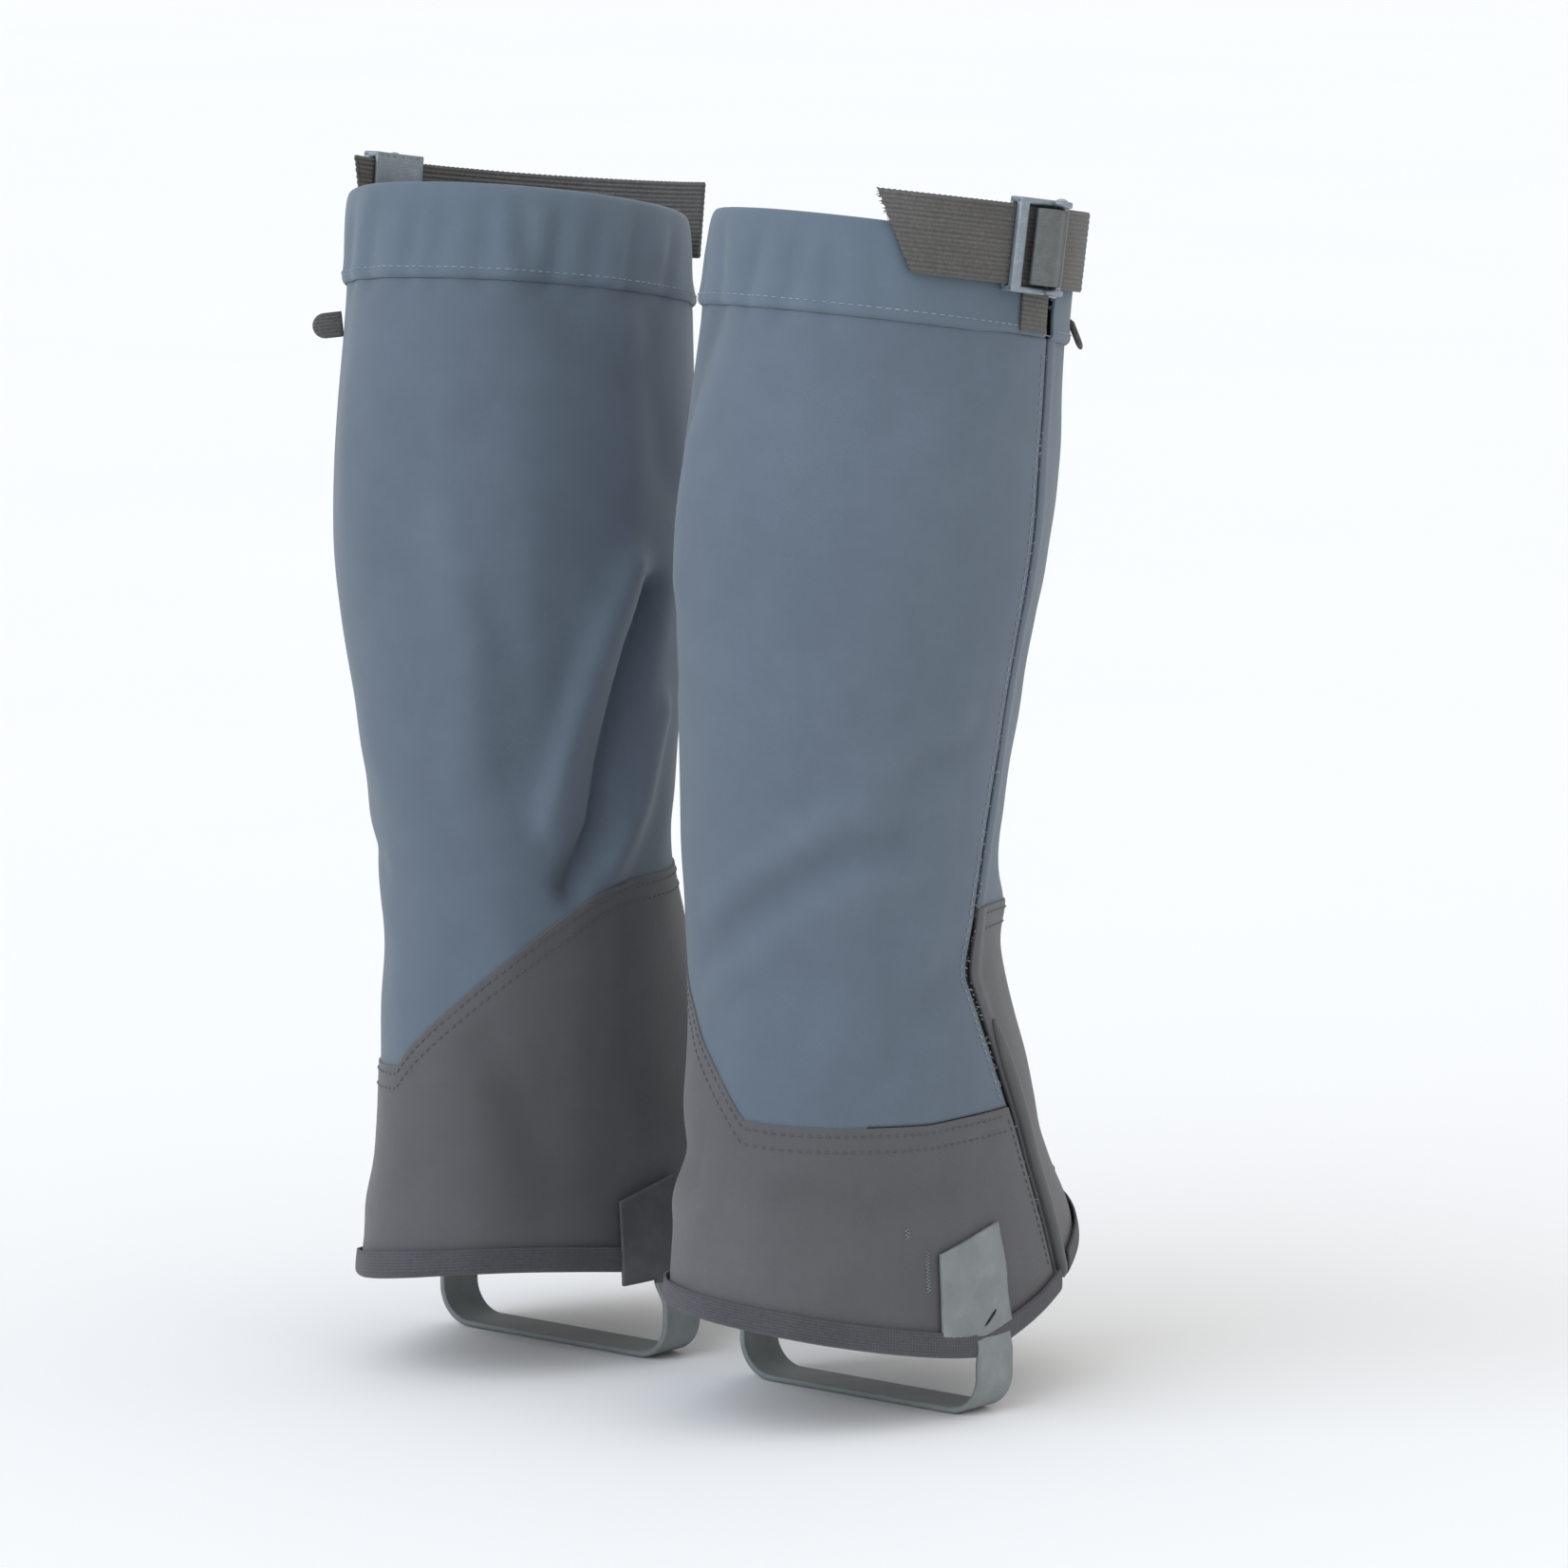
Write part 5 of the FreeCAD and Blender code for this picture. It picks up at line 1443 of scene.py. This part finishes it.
def make_stitching(side):
    """Topstitching of the cuff, guard, closure and hem, and two bar tacks."""
    body = side + "_gaiter"
    reach_low = lower_fold_line(-FOLD_REACH)
    front = closure_line(CLOSURE_GAP + 2.0, 1)

    def on_panel(a, h):
        return panel_lift(a, h) + 0.1

    def on_guard(a, h):
        return panel_lift(a, h) + GUARD_LIFT + 0.1

    def on_hem(a, h):
        return panel_lift(a, h) + 2.45

    path = path_along(level(CUFF_SEAM + 3.4), closure_line(-3.0), front, 300)
    row = stitch_row("cuff_topstitch", side, path,
                     lambda a, h: 2.0 + 0.0 * a)
    ride(row, body, "cuff_cloth")
    for number, drop in enumerate((3.0, 9.0)):
        path = path_along(guard_line(-drop), reach_low, front, 300)
        row = stitch_row("guard_topstitch_%d" % (number + 1), side, path, on_guard, "dark_thread")
        ride(row, body, "guard_cloth")
        path = path_along(guard_line(-drop), reach_low, closure_line(-3.0), 60)
        row = stitch_row("guard_flap_stitch_%d" % (number + 1), side, path, on_guard, "dark_thread")
        bend(row, side, "lower_flap", "guard_cloth")

    def edge_path(low, high, inset, count=120):
        heights = np.linspace(low, high, count)
        return list(zip(closure_line(-inset)(heights), heights))

    row = stitch_row("closure_edge_stitch", side, edge_path(GUARD_SIDE + 3.0, CUFF_SEAM - 3.0, 2.6), on_panel)
    ride(row, side + "_upper_flap", "upper_cloth")
    row = stitch_row("lower_edge_stitch", side, edge_path(48.0, GUARD_SIDE - 3.0, 2.6, 40), on_guard,
                     "dark_thread")
    ride(row, side + "_lower_flap", "guard_cloth")
    path = path_along(hem_line(6.4), reach_low, closure_line(14.0, 1), 300)
    row = stitch_row("hem_stitch", side, path, on_hem, "dark_thread")
    ride(row, body, "binding")
    path = path_along(hem_line(6.4), reach_low, closure_line(-1.0), 60)
    row = stitch_row("flap_hem_stitch", side, path, on_hem, "dark_thread")
    bend(row, side, "lower_flap", "binding")

    tacks = (((-33.0, 50.0), (-33.0, 66.0)), ((-42.0, 72.0), (-42.0, 76.0)))
    lines = []
    for (f0, h0), (f1, h1) in tacks:
        heights = np.linspace(h0, h1, int((h1 - h0) * 1.6))
        swing = 0.9 * (np.arange(len(heights)) % 2 * 2 - 1)
        angles = angle_at(np.linspace(f0, f1, len(heights)) + swing, heights)
        lines.append(cloth_point(side, angles, heights, GUARD_LIFT + 0.2))
    tack = tube_mesh(side + "_bar_tacks", lines, 0.3 * MM, MATERIALS["thread"], 6)
    ride(tack, body, "guard_cloth")


def make_fuzz(side):
    """Loose pile and lint along the closure."""
    rng = random.Random(7 if side == "right" else 8)
    lines = []
    for _ in range(420):
        height = rng.uniform(52.0, CUFF_SEAM + 20.0)
        shift = rng.choice((rng.uniform(0.2, 1.4), rng.uniform(0.6, 4.4)))
        angle = float(closure_line(shift)(height))
        outset = rng.uniform(-0.9, 0.6)
        line, reach = [], rng.uniform(0.5, 1.5)
        lean, rise = rng.uniform(-1.2, 1.2), rng.uniform(-1.0, 1.0)
        for t in (0.0, 0.35, 0.7, 1.0):
            lift = reach * t * (1.3 - 0.5 * t)
            line.append(cloth_point(side, angle + lean * t * t, height + rise * t, outset + lift))
        lines.append(line)
    fuzz = tube_mesh(side + "_closure_fuzz", lines, 0.15 * MM, MATERIALS["fuzz"], 4)
    ride(fuzz, side + "_gaiter", "loop_tape")


# ------------------------------------------------------------ floor and light

def make_stage():
    """Pale floor, even sky and two soft suns."""
    size = 30.0
    floor_height = CAD_BOX[0][2] - 0.0005
    floor = make_object("studio_floor", [(-size, -size, floor_height), (size, -size, floor_height),
                                         (size, size, floor_height), (-size, size, floor_height)],
                        [(0, 1, 2, 3)], [])
    n = Nodes("studio_white")
    place = n.add("ShaderNodeTexCoord").outputs["Object"]
    tone = n.ramp(n.noise(place, 2.0), ((0.0, (0.93, 0.93, 0.93, 1)), (1.0, (0.95, 0.95, 0.95, 1))))
    rough = n.math("ADD", n.math("MULTIPLY", n.noise(place, 4.0), 0.1), 0.8)
    floor.data.materials.append(n.surface(tone, rough, rough, 0.02, 0.0001, Specular_IOR_Level=0.1))

    world = bpy.data.worlds.new("studio_world")
    world.use_nodes = True
    background = world.node_tree.nodes["Background"]
    background.inputs["Color"].default_value = (1.0, 0.995, 0.985, 1.0)
    background.inputs["Strength"].default_value = 0.78
    bpy.context.scene.world = world
    for name, azimuth, elevation, strength, spread, tint in (
            ("key_light", 166.0, 36.0, 1.15, 60.0, (0.84, 0.99, 1.18)),
            ("fill_light", 250.0, 50.0, 0.3, 80.0, (1.0, 0.99, 0.97))):
        lamp = bpy.data.lights.new(name, "SUN")
        lamp.energy = strength
        lamp.color = tint
        lamp.angle = math.radians(spread)
        item = bpy.data.objects.new(name, lamp)
        turn, rise = math.radians(azimuth), math.radians(elevation)
        source = Vector((math.sin(turn) * math.cos(rise), -math.cos(turn) * math.cos(rise), math.sin(rise)))
        item.rotation_euler = source.to_track_quat("Z", "Y").to_euler()
        bpy.context.scene.collection.objects.link(item)


def make_camera():
    """A long lens, from the outer rear of the right gaiter."""
    azimuth, elevation, distance = math.radians(220.0), math.radians(8.6), 3.5
    target = Vector((0.04636, -0.00027, 0.23191))
    away = Vector((math.sin(azimuth) * math.cos(elevation), -math.cos(azimuth) * math.cos(elevation),
                   math.sin(elevation)))
    data = bpy.data.cameras.new("studio_camera")
    data.lens, data.sensor_width = 207.45, 36.0
    camera = bpy.data.objects.new("studio_camera", data)
    camera.location = target + away * distance
    camera.rotation_euler = away.to_track_quat("Z", "Y").to_euler()
    bpy.context.scene.collection.objects.link(camera)
    bpy.context.scene.camera = camera


make_camera()
make_stage()
for side in SIDES:
    make_upper(side)
    make_guard(side)
    make_cuff(side)
    make_closure(side)
    make_roll(side)
    make_hem(side)
    make_webbing(side)
    make_buckle(side)
    make_lever(side)
    make_anchor(side)
    make_strap(side)
    make_pull_tab(side)
    make_hook_tab(side)
    make_stitching(side)
    make_fuzz(side)

bpy.context.scene.view_settings.view_transform = "Standard"
